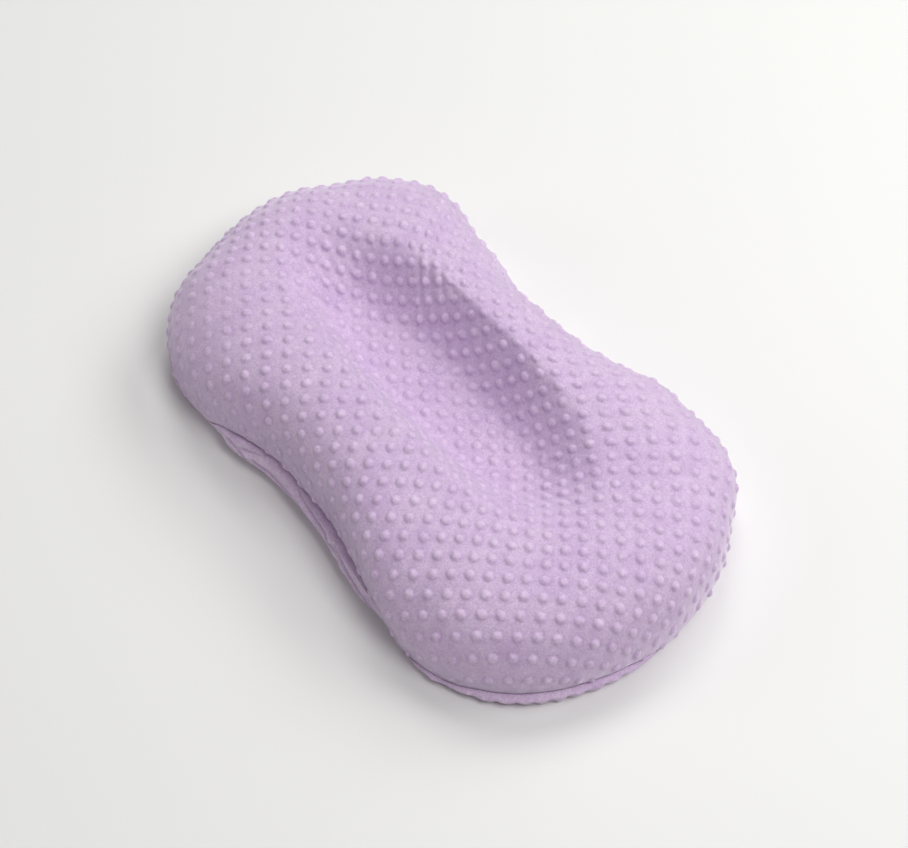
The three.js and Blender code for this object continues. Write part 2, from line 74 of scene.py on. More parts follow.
def hashed(*ints, seed=0):
    """A number from 0 to 1 for each set of whole numbers."""
    h = np.full(np.broadcast(*ints).shape, 2166136261 + seed * 7919, np.uint64)
    for k in ints:
        h = (h ^ (k.astype(np.int64).astype(np.uint64) & np.uint64(0xFFFFFFFF))) * np.uint64(16777619)
        h = (h ^ (h >> np.uint64(15))) & np.uint64(0xFFFFFFFFFFFF)
    h = (h * np.uint64(2654435761)) & np.uint64(0xFFFFFFFFFFFF)
    h = h ^ (h >> np.uint64(23))
    return (h & np.uint64(0xFFFFFF)).astype(float) / float(0xFFFFFF)


def noise3(p, size, seed=0):
    """Smooth noise from -1 to 1 with features of that size, at points (n, 3)."""
    q = np.asarray(p, float) / size
    i = np.floor(q).astype(np.int64)
    f = q - i
    w = f * f * f * (f * (f * 6 - 15) + 10)
    out = 0
    for dx in (0, 1):
        for dy in (0, 1):
            for dz in (0, 1):
                h = hashed(i[:, 0] + dx, i[:, 1] + dy, i[:, 2] + dz, seed=seed)
                wx = w[:, 0] if dx else 1 - w[:, 0]
                wy = w[:, 1] if dy else 1 - w[:, 1]
                wz = w[:, 2] if dz else 1 - w[:, 2]
                out = out + h * wx * wy * wz
    return out * 2 - 1


def ring_noise(u, waves, seed=0):
    """Noise round the closed seam, about that many waves in one turn."""
    a = np.asarray(u, float) * 2 * np.pi
    r = waves / (2 * np.pi)
    p = np.stack([np.cos(a.ravel()) * r, np.sin(a.ravel()) * r, np.full(a.size, 0.37)], 1)
    return noise3(p, 1.0, seed).reshape(a.shape)


# ------------------------------------------------------------------ the form
psi = np.arange(2880) / 2880 * 2 * np.pi
rad = sum(a * np.cos(k * psi) for k, a in enumerate(OUTLINE))
out2 = np.stack([rad * np.sin(psi), rad * np.cos(psi)], 1)
SCALE = LENGTH / (out2[:, 1].max() - out2[:, 1].min())
out2 = out2 * SCALE
out2[:, 1] -= (out2[:, 1].max() + out2[:, 1].min()) / 2
step = np.hypot(*(np.roll(out2, -1, 0) - out2).T)
cum = np.concatenate([[0], np.cumsum(step)])
AROUND = cum[-1]             # length of the perimeter seam
U_OF = cum / AROUND
loop = np.vstack([out2, out2[:1]])


def seam(u):
    u = np.mod(u, 1)
    return np.stack([np.interp(u, U_OF, loop[:, 0]), np.interp(u, U_OF, loop[:, 1])], -1)


def inward(u):
    a, b = seam(u - 0.0008), seam(u + 0.0008)
    t = b - a
    t /= np.linalg.norm(t, axis=-1, keepdims=True)
    return np.stack([t[..., 1], -t[..., 0]], -1)


def seam_z(u):
    """Height of the perimeter seam, which the cloth draws up along the waist."""
    y = seam(u)[..., 1]
    return SEAM_Z + SEAM_RISE * smooth((y + 160) / 60) * smooth((195 - y) / 85)


def seam_wave(u):
    """How far the sewn line strays up and down."""
    return (1.2 * ring_noise(u, 68, 24) + 0.55 * ring_noise(u, 150, 25)) * (1.7 - 0.7 * waist_of(u))


def waist_of(u):
    """1 along the waist, where the cloth under the seam stands up as a smooth band."""
    return smooth((142 - np.abs(seam(u)[..., 1] + 8)) / 24)


def along(u, table):
    """A value given at places round the seam, eased between them."""
    x, y = np.array(table).T
    return np.mean([np.interp(np.mod(u + k, 1), x, y, period=1) for k in (-0.006, -0.003, 0, 0.003, 0.006)], 0)


# how the sewn line and the cloth beside it lie round the seam, as (place round it, millimetres)
HANG = ((0, 0), (0.2, 0), (0.3, 9), (0.49, 9), (0.505, 7), (0.52, 4), (0.545, 2), (0.56, 2.5), (0.6, 2.6), (0.63, 5), (0.65, 9), (0.66, 9.5), (0.67, 12),
        (0.68, 15), (0.69, 12), (0.70, 7), (0.71, 5), (0.80, 5), (0.82, 6), (0.83, 10), (0.84, 13), (0.85, 11), (0.86, 8), (0.87, 6), (0.90, 6), (0.95, 0))
DRAWN = ((0, 2), (0.2, 2), (0.3, 1), (0.385, 1), (0.395, 3), (0.408, 7), (0.42, 6.5), (0.44, 4.5), (0.46, 4.5), (0.48, 3), (0.495, 1.5),
         (0.52, 2.2), (0.56, 4), (0.6, 4.6), (0.63, 3.6), (0.65, 6), (0.66, 6.5), (0.67, 7.5), (0.68, 8), (0.69, 6.5), (0.70, 6), (0.72, 4.4), (0.75, 4.2), (0.79, 3),
         (0.82, 2.5), (0.835, 3), (0.86, 4), (0.88, 2.5), (0.95, 2))
REACH = ((0, 16), (0.36, 40), (0.38, 60), (0.42, 60), (0.46, 45), (0.49, 20), (0.53, 14), (0.63, 14), (0.65, 18), (0.68, 20), (0.70, 35), (0.72, 44),
         (0.80, 44), (0.83, 25), (0.86, 20), (0.9, 16))
UNDER = ((0, 0), (0.2, 0), (0.3, 5), (0.38, 7), (0.4, 11), (0.42, 10.5), (0.46, 10), (0.48, 9), (0.5, 5), (0.51, 2), (0.535, 1), (0.56, 1), (0.57, -0.5), (0.6, 1),
         (0.62, 3.5), (0.63, 2.6), (0.64, 3.5), (0.65, 8), (0.66, 9), (0.67, 11), (0.68, 11), (0.69, 7), (0.7, 4.5), (0.71, 2), (0.72, 0), (0.76, 0.3), (0.79, -0.6),
         (0.82, -1), (0.83, 3), (0.84, 6), (0.86, 7), (0.88, 4), (0.9, 4), (0.95, 0))
SETTLE = ((0, 3.5), (0.019, 2.5), (0.032, 3.2), (0.045, 5.5), (0.057, 4.8), (0.069, 2), (0.082, -3), (0.094, -4), (0.107, -7.5), (0.121, -9.5), (0.133, -7),
          (0.146, -0.5), (0.158, 6.5), (0.171, 9.5), (0.194, 8), (0.207, 13), (0.229, 10.5), (0.25, 12), (0.26, 10.5), (0.275, 11), (0.286, 9), (0.3, 8.5),
          (0.312, 3), (0.322, -2), (0.35, -1), (0.365, -3), (0.38, -3.5), (0.395, -3), (0.41, 0), (0.91, 0), (0.924, 1), (0.932, 4), (0.942, 7),
          (0.951, 8.5), (0.963, 8.5), (0.974, 7), (0.985, 5.5))


PINCH = ((0, 2), (0.48, 2.8), (0.53, 1.7), (0.57, 0.9), (0.65, 0.6), (0.69, 1.5), (0.705, 3), (0.8, 3), (0.82, 1.8), (0.85, 1.1), (0.93, 1.2))


def droop(u):
    """How far the sewn line hangs below the height it would have, pulled tight."""
    return along(u, HANG)


def crease(u):
    """How far in from the outline the sewn line lies."""
    return along(u, DRAWN) + along(u, PINCH)


def settle(u, v, arc):
    """How far the cloth above the seam stands in from the form."""
    return along(u, DRAWN) * np.exp(-(arc / along(u, REACH)) ** 2) + along(u, SETTLE) * smooth(v / 0.2) * smooth((1.3 - v) / 0.8)


def oval(o, p):
    a = np.arctan2(p[..., 0] / 176, p[..., 1] / 300)
    s, c = np.sin(a), np.cos(a)
    ay = np.where(c > 0, o["head"], o["foot"])
    return np.stack([np.sign(s) * o["side"] * np.abs(s) ** (2 / o["power"]),
                     np.sign(c) * ay * np.abs(c) ** (2 / o["power"])], -1)


def crest_z(y):
    head = CREST_Z["side"] + (CREST_Z["head"] - CREST_Z["side"]) * smooth((y - 20) / 180)
    foot = CREST_Z["side"] + (CREST_Z["foot"] - CREST_Z["side"]) * smooth((-y - 20) / 170)
    return np.where(y > 0, head, foot)


def fullness(p):
    """How square the outer wall's profile is: 2 is a quarter of an ellipse."""
    near = smooth((-p[..., 0] - 20) / 120) * smooth((200 - np.abs(p[..., 1] + 20)) / 110)
    foot = smooth((-p[..., 1] - 110) / 110)
    left = smooth((-p[..., 0] - 10) / 110)
    return 2.1 + np.maximum(np.maximum(0.8 * near, 0.6 * foot), 0.35 * left)


def form(u, v):
    """The upper surface: v runs from the seam, 0, over the crest, 1, to the edge of the recess floor, 2."""
    p = seam(u)
    c, f = oval(CREST, p), oval(FLOOR, p)
    a = np.clip(v, 0, 1) * np.pi / 2
    t = np.clip(v - 1, 0, 1)
    n = fullness(p)
    ca, sa = np.abs(np.cos(a)), np.abs(np.sin(a))
    rho = (ca ** n + sa ** n) ** (1 / n)
    k = 1 - ca / rho
    zc, z0 = crest_z(c[..., 1]), seam_z(u) + 0.6
    outer = np.concatenate([p + (c - p) * k[..., None], (z0 + (zc - z0) * sa / rho)[..., None]], -1)
    q = c + (f - c) * t[..., None]
    inner = np.concatenate([q, (RECESS_Z + (zc - RECESS_Z) * (0.5 + 0.5 * np.cos(np.pi * t)))[..., None]], -1)
    return np.where((v <= 1)[..., None], outer, inner)


# length along the form from the seam inward, on a table
TU, TV = np.arange(361) / 360, np.linspace(0, 2, 241)
tab = form(*np.meshgrid(TU, TV, indexing="ij"))
ARC = np.concatenate([np.zeros((361, 1)), np.cumsum(np.linalg.norm(np.diff(tab, axis=1), axis=2), 1)], 1)


def arc_at(u, v):
    fu, fv = np.mod(u, 1) * 360, np.clip(v, 0, 2) / 2 * 240
    i, j = np.minimum(fu.astype(int), 359), np.minimum(fv.astype(int), 239)
    a, b = fu - i, fv - j
    return (ARC[i, j] * (1 - a) * (1 - b) + ARC[i + 1, j] * a * (1 - b)
            + ARC[i, j + 1] * (1 - a) * b + ARC[i + 1, j + 1] * a * b)


def ring_nodes(fun, v, spacing, shift):
    uu = np.arange(1440) / 1440
    q = fun(uu, np.full(1440, float(v)))
    s = np.concatenate([[0], np.cumsum(np.linalg.norm(np.roll(q, -1, 0) - q, axis=1))])
    n = max(24, int(round(s[-1] / spacing)))
    return np.interp((np.arange(n) + shift) / n * s[-1], s, np.concatenate([uu, [1.0]]))


def cdt(points, loop_n):
    """Triangles over 2-D points whose first loop_n are the closed outline, in order."""
    r = delaunay_2d_cdt([Vector(p) for p in points.tolist()], [], [list(range(loop_n))], 1, 1e-6, True)
    back = np.array([ids[0] if ids else -1 for ids in r[3]])
    tri = back[np.array([f for f in r[2] if len(f) == 3])]
    tri = tri[(tri >= 0).all(1)]
    a, b, c = points[tri[:, 0]], points[tri[:, 1]], points[tri[:, 2]]
    area = (b[:, 0] - a[:, 0]) * (c[:, 1] - a[:, 1]) - (b[:, 1] - a[:, 1]) * (c[:, 0] - a[:, 0])
    tri[area < 0] = tri[area < 0][:, ::-1]
    keep = np.abs(area) > 1e-9
    # triangles in the hollows of the outline lie outside it
    edge = np.nonzero((tri < loop_n).all(1))[0]
    m = points[tri[edge]].mean(1)
    q0, q1 = points[:loop_n], np.roll(points[:loop_n], -1, 0)
    cross = (q0[None, :, 1] > m[:, 1:]) != (q1[None, :, 1] > m[:, 1:])
    dy = np.where(np.abs(q1[:, 1] - q0[:, 1]) < 1e-12, 1e-12, q1[:, 1] - q0[:, 1])
    at_x = q0[None, :, 0] + (m[:, 1:] - q0[None, :, 1]) * ((q1[:, 0] - q0[:, 0]) / dy)[None]
    keep[edge[(cross & (at_x > m[:, :1])).sum(1) % 2 == 0]] = False
    return tri[keep]


def edges_of(tri):
    e = np.sort(np.vstack([tri[:, [0, 1]], tri[:, [1, 2]], tri[:, [2, 0]]]), 1)
    return np.unique(e, axis=0)


def flatten(p3, p2, tri, rounds):
    """Moves flat points until their spacing is that of the points in space."""
    e = edges_of(tri)
    i, j = e[:, 0], e[:, 1]
    want = np.linalg.norm(p3[i] - p3[j], axis=1)
    n = len(p2)
    w = 1 / want
    total = np.bincount(i, w, n) + np.bincount(j, w, n)
    vel = np.zeros_like(p2)
    for k in range(rounds):
        d = p2[j] - p2[i]
        l = np.linalg.norm(d, axis=1)
        c = (w * 0.5 * (l - want) / l)[:, None] * d
        move = np.stack([np.bincount(i, c[:, a], n) - np.bincount(j, c[:, a], n) for a in (0, 1)], 1) / total[:, None]
        vel = (0.97 if k < rounds - 120 else 0.8) * vel + move
        p2 = p2 + vel
    return p2


def tree_of(p):
    tree = KDTree(len(p))
    if p.shape[1] == 2:
        for i, q in enumerate(p.tolist()):
            tree.insert((q[0], q[1], 0), i)
    else:
        for i, q in enumerate(p.tolist()):
            tree.insert(q, i)
    tree.balance()
    return tree


class Cloth:
    """A piece of cloth: places on it are given flat, in millimetres, and turned into places in space by a local fit to
    the nodes round them. facts are further values that the nodes carry."""

    def __init__(self, flat, space, facts, spacing, flip_by):
        self.flat, self.space, self.facts, self.spacing = flat, space, facts, spacing
        self.tree = tree_of(flat)
        self.flip_by = flip_by

    def at(self, at, k=14, values=None):
        values = np.column_stack([self.space, self.facts]) if values is None else values
        idx = np.array([[r[1] for r in self.tree.find_n((p[0], p[1], 0), k)] for p in at.tolist()])
        d = self.flat[idx] - at[:, None, :]
        r2 = (d ** 2).sum(2)
        w = np.exp(-r2 / (r2.max(1) * 0.42)[:, None])
        x, y = d[..., 0] / self.spacing, d[..., 1] / self.spacing
        basis = np.stack([np.ones_like(x), x, y, x * x, x * y, y * y], 2)
        bw = basis * w[..., None]
        m = np.einsum("nki,nkj->nij", bw, basis) + np.eye(6) * 1e-7
        c = np.linalg.solve(m, np.einsum("nki,nkf->nif", bw, values[idx]))
        n = np.cross(c[:, 1, :3], c[:, 2, :3])
        n /= np.linalg.norm(n, axis=1, keepdims=True)
        return c[:, 0, :3], n * self.flip_by, c[:, 0, 3:]


# ------------------------------------------------------------------ the upper cloth, laid over the form
NODE = 5.0


def upper_cloth():
    us, vs = [], []
    n_out, n_in = int(round(150 / NODE)), int(round(96 / NODE))
    for k, v in enumerate(list(np.arange(n_out) / n_out) + list(1 + np.arange(n_in) / n_in)):
        u = ring_nodes(form, v, NODE, 0.5 * (k % 2) if k else 0)
        us.append(u)
        vs.append(np.full(len(u), v))
    u, v = np.concatenate(us), np.concatenate(vs)
    gx, gy = np.meshgrid(np.arange(-12, 13) * NODE, np.arange(-40, 41) * NODE * 0.87)
    gx = gx + (np.round(gy / (NODE * 0.87)).astype(int) % 2) * NODE / 2
    g = np.stack([gx.ravel(), gy.ravel()], 1)
    ay = np.where(g[:, 1] > 0, FLOOR["head"], FLOOR["foot"])
    r = ((np.abs(g[:, 0]) / FLOOR["side"]) ** 2.2 + (np.abs(g[:, 1]) / ay) ** 2.2) ** (1 / 2.2)
    keep = r < 1 - 0.75 * NODE / np.maximum(np.linalg.norm(g, axis=1), 26)
    g, r = g[keep], r[keep]
    fl = oval(FLOOR, seam(TU[:-1]))
    tree = tree_of(fl)
    edge = g / np.maximum(r, 0.02)[:, None]
    fu = np.array([TU[tree.find((p[0], p[1], 0))[1]] for p in edge.tolist()])
    space = np.vstack([form(u, v), np.column_stack([g, np.full(len(g), RECESS_Z)])])
    fv = 2 + (1 - r)
    full = arc_at(fu, np.full(len(fu), 2.0))
    arc = np.concatenate([arc_at(u, v), full + np.linalg.norm(edge - g, axis=1)])
    uu, vv = np.concatenate([u, fu]), np.concatenate([v, fv])
    pf, ps = oval(FLOOR, seam(u)), seam(u)
    out = (ps - pf) / np.linalg.norm(ps - pf, axis=1, keepdims=True)
    flat = np.vstack([pf + out * (arc_at(u, np.full(len(u), 2.0)) - arc_at(u, v))[:, None], g])
    n_loop = int((v == 0).sum())
    tri = cdt(flat, n_loop)
    return flat, space, uu, vv, arc, tri, n_loop


flat0, top_space, node_u, node_v, node_arc, tri0, n_loop = upper_cloth()
flat = flatten(top_space, flat0, tri0, 1400)
UP = Cloth(flat, top_space, np.column_stack([np.cos(node_u * 2 * np.pi), np.sin(node_u * 2 * np.pi), node_arc, node_v]), NODE, 1)
if UP.at(np.array([[0.0, 0.0]]))[1][0, 2] < 0:
    UP.flip_by = -1


# ------------------------------------------------------------------ dots
def rows_of(p):
    """The count of rows, in both directions, at flat places, and its slopes."""
    x, y = p[:, 0] / 200, p[:, 1] / 200
    out, jac = [], []
    for co, base in ((ROWS_A, ROWS_AT[0]), (ROWS_B, ROWS_AT[1])):
        val, dx, dy = base + 0 * x, 0 * x, 0 * x
        for (i, j), c in zip(TERMS, co):
            val = val + c * x ** i * y ** j
            dx = dx + (c * i * x ** (i - 1) * y ** j / 200 if i else 0)
            dy = dy + (c * j * x ** i * y ** (j - 1) / 200 if j else 0)
        out.append(val)
        jac.append(np.stack([dx, dy], 1))
    return np.stack(out, 1), np.stack(jac, 1)


def upper_dots():
    n = 34
    i, j = np.meshgrid(np.arange(-n, n + 1), np.arange(-n, n + 1))
    want = np.stack([i.ravel(), j.ravel()], 1).astype(float)
    j0 = rows_of(np.zeros((1, 2)))[1][0]
    p = want @ np.linalg.inv(j0).T
    for _ in range(25):
        val, jac = rows_of(p)
        move = np.linalg.solve(jac, (want - val)[..., None])[..., 0]
        l = np.linalg.norm(move, axis=1, keepdims=True)
        p = p + move * np.minimum(1, 20 / np.maximum(l, 1e-9))
    val, jac = rows_of(p)
    good = (np.abs(want - val).max(1) < 1e-3) & (np.abs(p[:, 0]) < 330) & (np.abs(p[:, 1]) < 420) & (np.linalg.det(jac) > 0)
    return p[good]


def grid_dots(angle, reach):
    n = int(reach / PITCH) + 2
    i, j = np.meshgrid(np.arange(-n, n + 1), np.arange(-n, n + 1))
    a = math.radians(angle)
    r = np.array([[math.cos(a), -math.sin(a)], [math.sin(a), math.cos(a)]])
    return (np.stack([i.ravel(), j.ravel()], 1) * PITCH) @ r.T


def dot_points(centres, rings, counts, clear, fill, boundary_side, margin):
    """Flat places that draw every dot well: rings round each, and a sparser fill between them."""
    pattern = [(0.0, 0.0)]
    for k, (r, n) in enumerate(zip(rings, counts)):
        a = (np.arange(n) + 0.5 * (k % 2)) / n * 2 * np.pi
        pattern += list(zip(r * np.cos(a), r * np.sin(a)))
    near = centres[boundary_side(centres) > -rings[-1]]
    pts = (near[:, None, :] + np.array(pattern)[None]).reshape(-1, 2)
    lo, hi = near.min(0) - PITCH, near.max(0) + PITCH
    gx, gy = np.meshgrid(np.arange(lo[0], hi[0], fill), np.arange(lo[1], hi[1], fill * 0.87))
    gx = gx + (np.arange(gx.shape[0]) % 2)[:, None] * fill / 2
    g = np.stack([gx.ravel(), gy.ravel()], 1)
    g = g[boundary_side(g) > margin]
    tree = tree_of(near)
    dist = np.array([tree.find((p[0], p[1], 0))[2] for p in g.tolist()])
    pts = pts[boundary_side(pts) > margin]
    return np.vstack([pts, g[dist > clear]])


def dot_height(at, centres, radius, height, seed):
    """Height of the raised dots at flat places, each dot a little unlike the next."""
    tree = tree_of(centres)
    idx = np.array([tree.find((p[0], p[1], 0))[1] for p in at.tolist()])
    d = at - centres[idx]
    h1, h2, h3, h4 = (hashed(idx, np.full(len(idx), 7), seed=seed + k) for k in range(4))
    d = d - (np.stack([h1, h2], 1) - 0.5) * 0.8
    th = h3 * np.pi
    along = d[:, 0] * np.cos(th) + d[:, 1] * np.sin(th)
    across = -d[:, 0] * np.sin(th) + d[:, 1] * np.cos(th)
    e = 1 + 0.1 * (h4 - 0.5)
    rr = np.hypot(along * e, across / e) / (radius * (0.95 + 0.1 * h1))
    dome = np.clip(1 - rr ** 2.2, 0, 1)
    body = np.where(rr < 1, dome * (0.4 + 0.6 * smooth((1 - rr) / 0.3)), 0)
    moat = -0.07 * np.exp(-((rr - 1.15) / 0.2) ** 2)
    # with the height goes a tone for each dot: painted highlight on the crown, painted shade in a ring round the foot
    return height * (0.8 + 0.35 * h2) * (body + moat), np.clip(1 - rr, 0, 1) - 0.5 * np.exp(-((rr - 1.0) / 0.3) ** 2)


# ------------------------------------------------------------------ meshes
def new_mesh(name, verts, tris, quads=None, smooth_shade=True, mm=True):
    me = bpy.data.meshes.new(name)
    v = np.asarray(verts, float) * (0.001 if mm else 1)
    tris = np.asarray(tris, np.int32).reshape(-1, 3)
    quads = np.zeros((0, 4), np.int32) if quads is None else np.asarray(quads, np.int32).reshape(-1, 4)
    me.vertices.add(len(v))
    me.vertices.foreach_set("co", v.astype(np.float32).ravel())
    me.loops.add(len(tris) * 3 + len(quads) * 4)
    me.loops.foreach_set("vertex_index", np.concatenate([tris.ravel(), quads.ravel()]))
    me.polygons.add(len(tris) + len(quads))
    me.polygons.foreach_set("loop_start", np.concatenate(
        [np.arange(len(tris)) * 3, len(tris) * 3 + np.arange(len(quads)) * 4]).astype(np.int32))
    me.polygons.foreach_set("use_smooth", np.full(len(tris) + len(quads), smooth_shade))
    me.update(calc_edges=True)
    ob = bpy.data.objects.new(name, me)
    bpy.context.scene.collection.objects.link(ob)
    return ob


def point_value(ob, name, values):
    a = ob.data.attributes.new(name, "FLOAT", "POINT")
    a.data.foreach_set("value", np.asarray(values, np.float32))


def side_of(loop2):
    """A function that gives the distance of flat places from a closed outline, below 0 outside it."""
    t = np.roll(loop2, -1, 0) - np.roll(loop2, 1, 0)
    t /= np.maximum(np.linalg.norm(t, axis=1, keepdims=True), 1e-9)
    area = (loop2[:, 0] * np.roll(loop2[:, 1], -1) - loop2[:, 1] * np.roll(loop2[:, 0], -1)).sum()
    inn = np.stack([-t[:, 1], t[:, 0]], 1) * (1 if area > 0 else -1)
    tree = tree_of(loop2)

    def side(at):
        idx = np.array([tree.find((p[0], p[1], 0))[1] for p in at.tolist()])
        d = at - loop2[idx]
        return np.where((d * inn[idx]).sum(1) > 0, 1, -1) * np.linalg.norm(d, axis=1)
    return side


def orient(verts, tri):
    a, b, c = verts[tri[:, 0]], verts[tri[:, 1]], verts[tri[:, 2]]
    return tri if np.einsum("ij,ij->i", a, np.cross(b, c)).sum() > 0 else tri[:, ::-1]


def two_faced(outer, outer_tri, inner, inner_tri, n_b):
    """One closed solid from an outer and an inner face that share the order of their first n_b rim points."""
    a = len(outer)
    i = np.arange(n_b)
    k = (i + 1) % n_b
    directed = {(x, y) for x, y in np.vstack([outer_tri[:, [0, 1]], outer_tri[:, [1, 2]], outer_tri[:, [2, 0]]]).tolist()}
    rim = np.vstack([np.stack([i, a + i, k], 1), np.stack([k, a + i, a + k], 1)])
    if (0, 1) in directed:       # the rim runs the other way along the shared edge
        rim = rim
    else:
        rim = rim[:, ::-1]
    verts = np.vstack([outer, inner])
    tri = np.vstack([outer_tri, inner_tri[:, ::-1] + a, rim])
    return verts, orient(verts, tri)


def hex_fill(side, lo, hi, spacing, margin):
    gx, gy = np.meshgrid(np.arange(lo[0], hi[0], spacing), np.arange(lo[1], hi[1], spacing * 0.87))
    gx = gx + (np.arange(gx.shape[0]) % 2)[:, None] * spacing / 2
    g = np.stack([gx.ravel(), gy.ravel()], 1)
    return g[side(g) > margin]


def dress(ob, material, nodes=(), body="root"):
    ob.data.materials.clear()
    ob.data.materials.append(material)
    if nodes:
        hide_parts(*nodes)
    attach(ob, body)
    return ob


# ------------------------------------------------------------------ materials
def new_material(name):
    m = bpy.data.materials.new(name)
    m.use_nodes = True
    nt = m.node_tree
    nt.nodes.clear()
    out = nt.nodes.new("ShaderNodeOutputMaterial")
    bsdf = nt.nodes.new("ShaderNodeBsdfPrincipled")
    nt.links.new(bsdf.outputs["BSDF"], out.inputs["Surface"])
    return m, nt, bsdf


def srgb(r, g, b):
    f = lambda c: c / 12.92 if c <= 0.04045 else ((c + 0.055) / 1.055) ** 2.4
    return (f(r / 255), f(g / 255), f(b / 255), 1)


def object_coord(nt):
    return nt.nodes.new("ShaderNodeTexCoord").outputs["Object"]


def mapped(nt, coord, scale=(1, 1, 1), turn=(0, 0, 0)):
    mp = nt.nodes.new("ShaderNodeMapping")
    mp.inputs["Scale"].default_value = scale
    mp.inputs["Rotation"].default_value = turn
    nt.links.new(coord, mp.inputs["Vector"])
    return mp.outputs["Vector"]


def noise_node(nt, coord, scale, detail=3, rough=0.55):
    n = nt.nodes.new("ShaderNodeTexNoise")
    n.inputs["Scale"].default_value = scale
    n.inputs["Detail"].default_value = detail
    n.inputs["Roughness"].default_value = rough
    nt.links.new(coord, n.inputs["Vector"])
    return n.outputs["Fac"]


def wave_node(nt, coord, scale, direction="X", profile="SIN", distortion=0.0):
    w = nt.nodes.new("ShaderNodeTexWave")
    w.wave_type = "BANDS"
    w.bands_direction = direction
    w.wave_profile = profile
    w.inputs["Scale"].default_value = scale
    w.inputs["Distortion"].default_value = distortion
    w.inputs["Detail"].default_value = 1
    nt.links.new(coord, w.inputs["Vector"])
    return w.outputs["Fac"]


def ramp(nt, fac, stops):
    r = nt.nodes.new("ShaderNodeValToRGB")
    el = r.color_ramp.elements
    while len(el) < len(stops):
        el.new(0.5)
    for e, (p, c) in zip(el, stops):
        e.position, e.color = p, c
    nt.links.new(fac, r.inputs["Fac"])
    return r.outputs["Color"]


def mixed(nt, mode, fac, a, b):
    m = nt.nodes.new("ShaderNodeMix")
    m.data_type = "RGBA"
    m.blend_type = mode
    for sock, val in ((m.inputs[0], fac), (m.inputs[6], a), (m.inputs[7], b)):
        if hasattr(val, "links"):
            nt.links.new(val, sock)
        else:
            sock.default_value = val
    return m.outputs[2]


def math_node(nt, op, a, b=None, c=None):
    m = nt.nodes.new("ShaderNodeMath")
    m.operation = op
    for sock, val in ((m.inputs[0], a), (m.inputs[1], b), (m.inputs[2], c)):
        if val is None:
            continue
        if hasattr(val, "links"):
            nt.links.new(val, sock)
        else:
            sock.default_value = val
    return m.outputs[0]


def bumps(nt, bsdf, *layers):
    """Bump from (height, strength, distance) layers, the coarsest first."""
    normal = None
    for height, strength, distance in layers:
        b = nt.nodes.new("ShaderNodeBump")
        b.inputs["Strength"].default_value = strength
        b.inputs["Distance"].default_value = distance
        nt.links.new(height, b.inputs["Height"])
        if normal is not None:
            nt.links.new(normal, b.inputs["Normal"])
        normal = b.outputs["Normal"]
    nt.links.new(normal, bsdf.inputs["Normal"])


def plush_material(name, base, light, dark, dots=True):
    m, nt, bsdf = new_material(name)
    co = object_coord(nt)
    brushed = noise_node(nt, co, 90, 5, 0.7)
    fine = noise_node(nt, co, 520, 3, 0.6)
    pile = noise_node(nt, co, 1500, 2, 0.7)
    col = ramp(nt, brushed, [(0.3, dark), (0.5, base), (0.72, light)])
    # the pile lies this way and that, so its tone comes and goes
    lie = noise_node(nt, co, 26, 3, 0.55)
    col = mixed(nt, "MULTIPLY", 0.5, col, ramp(nt, lie, [(0.34, (0.93, 0.885, 0.965, 1)), (0.5, (1, 1, 1, 1)), (0.66, (1.04, 1.05, 1.02, 1))]))
    speck = ramp(nt, fine, [(0.32, (0.8, 0.78, 0.81, 1)), (0.68, (1.1, 1.1, 1.1, 1))])
    col = mixed(nt, "MULTIPLY", 0.8, col, speck)
    if dots:
        at = nt.nodes.new("ShaderNodeAttribute")
        at.attribute_name = "dot"
        # painted light: each dot's crown is painted lighter as a highlight, and a ring of painted shade lies round its
        # foot
        col = mixed(nt, "MULTIPLY", 1.0, col, ramp(nt, math_node(nt, "MULTIPLY_ADD", at.outputs["Fac"], 0.5, 0.5),
                                                   [(0.1, (0.88, 0.84, 0.91, 1)), (0.5, (1, 1, 1, 1)), (0.9, (1.08, 1.1, 1.07, 1))]))
    nt.links.new(col, bsdf.inputs["Base Color"])
    bsdf.inputs["Roughness"].default_value = 0.92
    bsdf.inputs["Specular IOR Level"].default_value = 0.15
    bsdf.inputs["Sheen Weight"].default_value = 1.0
    bsdf.inputs["Sheen Roughness"].default_value = 0.4
    bsdf.inputs["Sheen Tint"].default_value = (0.95, 0.9, 1.0, 1)
    bumps(nt, bsdf, (fine, 0.35, 0.0012), (pile, 0.5, 0.0005))
    return m


PLUSH = plush_material("plush", srgb(214, 190, 222), srgb(223, 201, 230), srgb(207, 182, 215))
# the same plush for the bottom panels, painted lighter to make up for the shade that the upper panel's overhang casts
# on the band under the seam
PLUSH_UNDER_PAINTED_LIGHT = plush_material("plush_under_painted_light", srgb(225, 202, 231), srgb(234, 213, 239), srgb(218, 194, 225))


def thread_material(name, col, dark, scale=900):
    m, nt, bsdf = new_material(name)
    co = object_coord(nt)
    ply = wave_node(nt, mapped(nt, co, turn=(0.5, 0.3, 0.8)), scale, "DIAGONAL", "SIN", 1.5)
    fuzz = noise_node(nt, co, 1800, 2, 0.6)
    nt.links.new(ramp(nt, mixed(nt, "MIX", 0.5, ply, fuzz), [(0.25, dark), (0.75, col)]), bsdf.inputs["Base Color"])
    bsdf.inputs["Roughness"].default_value = 0.75
    bsdf.inputs["Sheen Weight"].default_value = 0.2
    bumps(nt, bsdf, (ply, 0.6, 0.0003))
    return m


THREAD = thread_material("thread", srgb(212, 188, 220), srgb(186, 160, 196))
CASING_THREAD = thread_material("casing_thread", srgb(240, 238, 232), srgb(214, 211, 204))


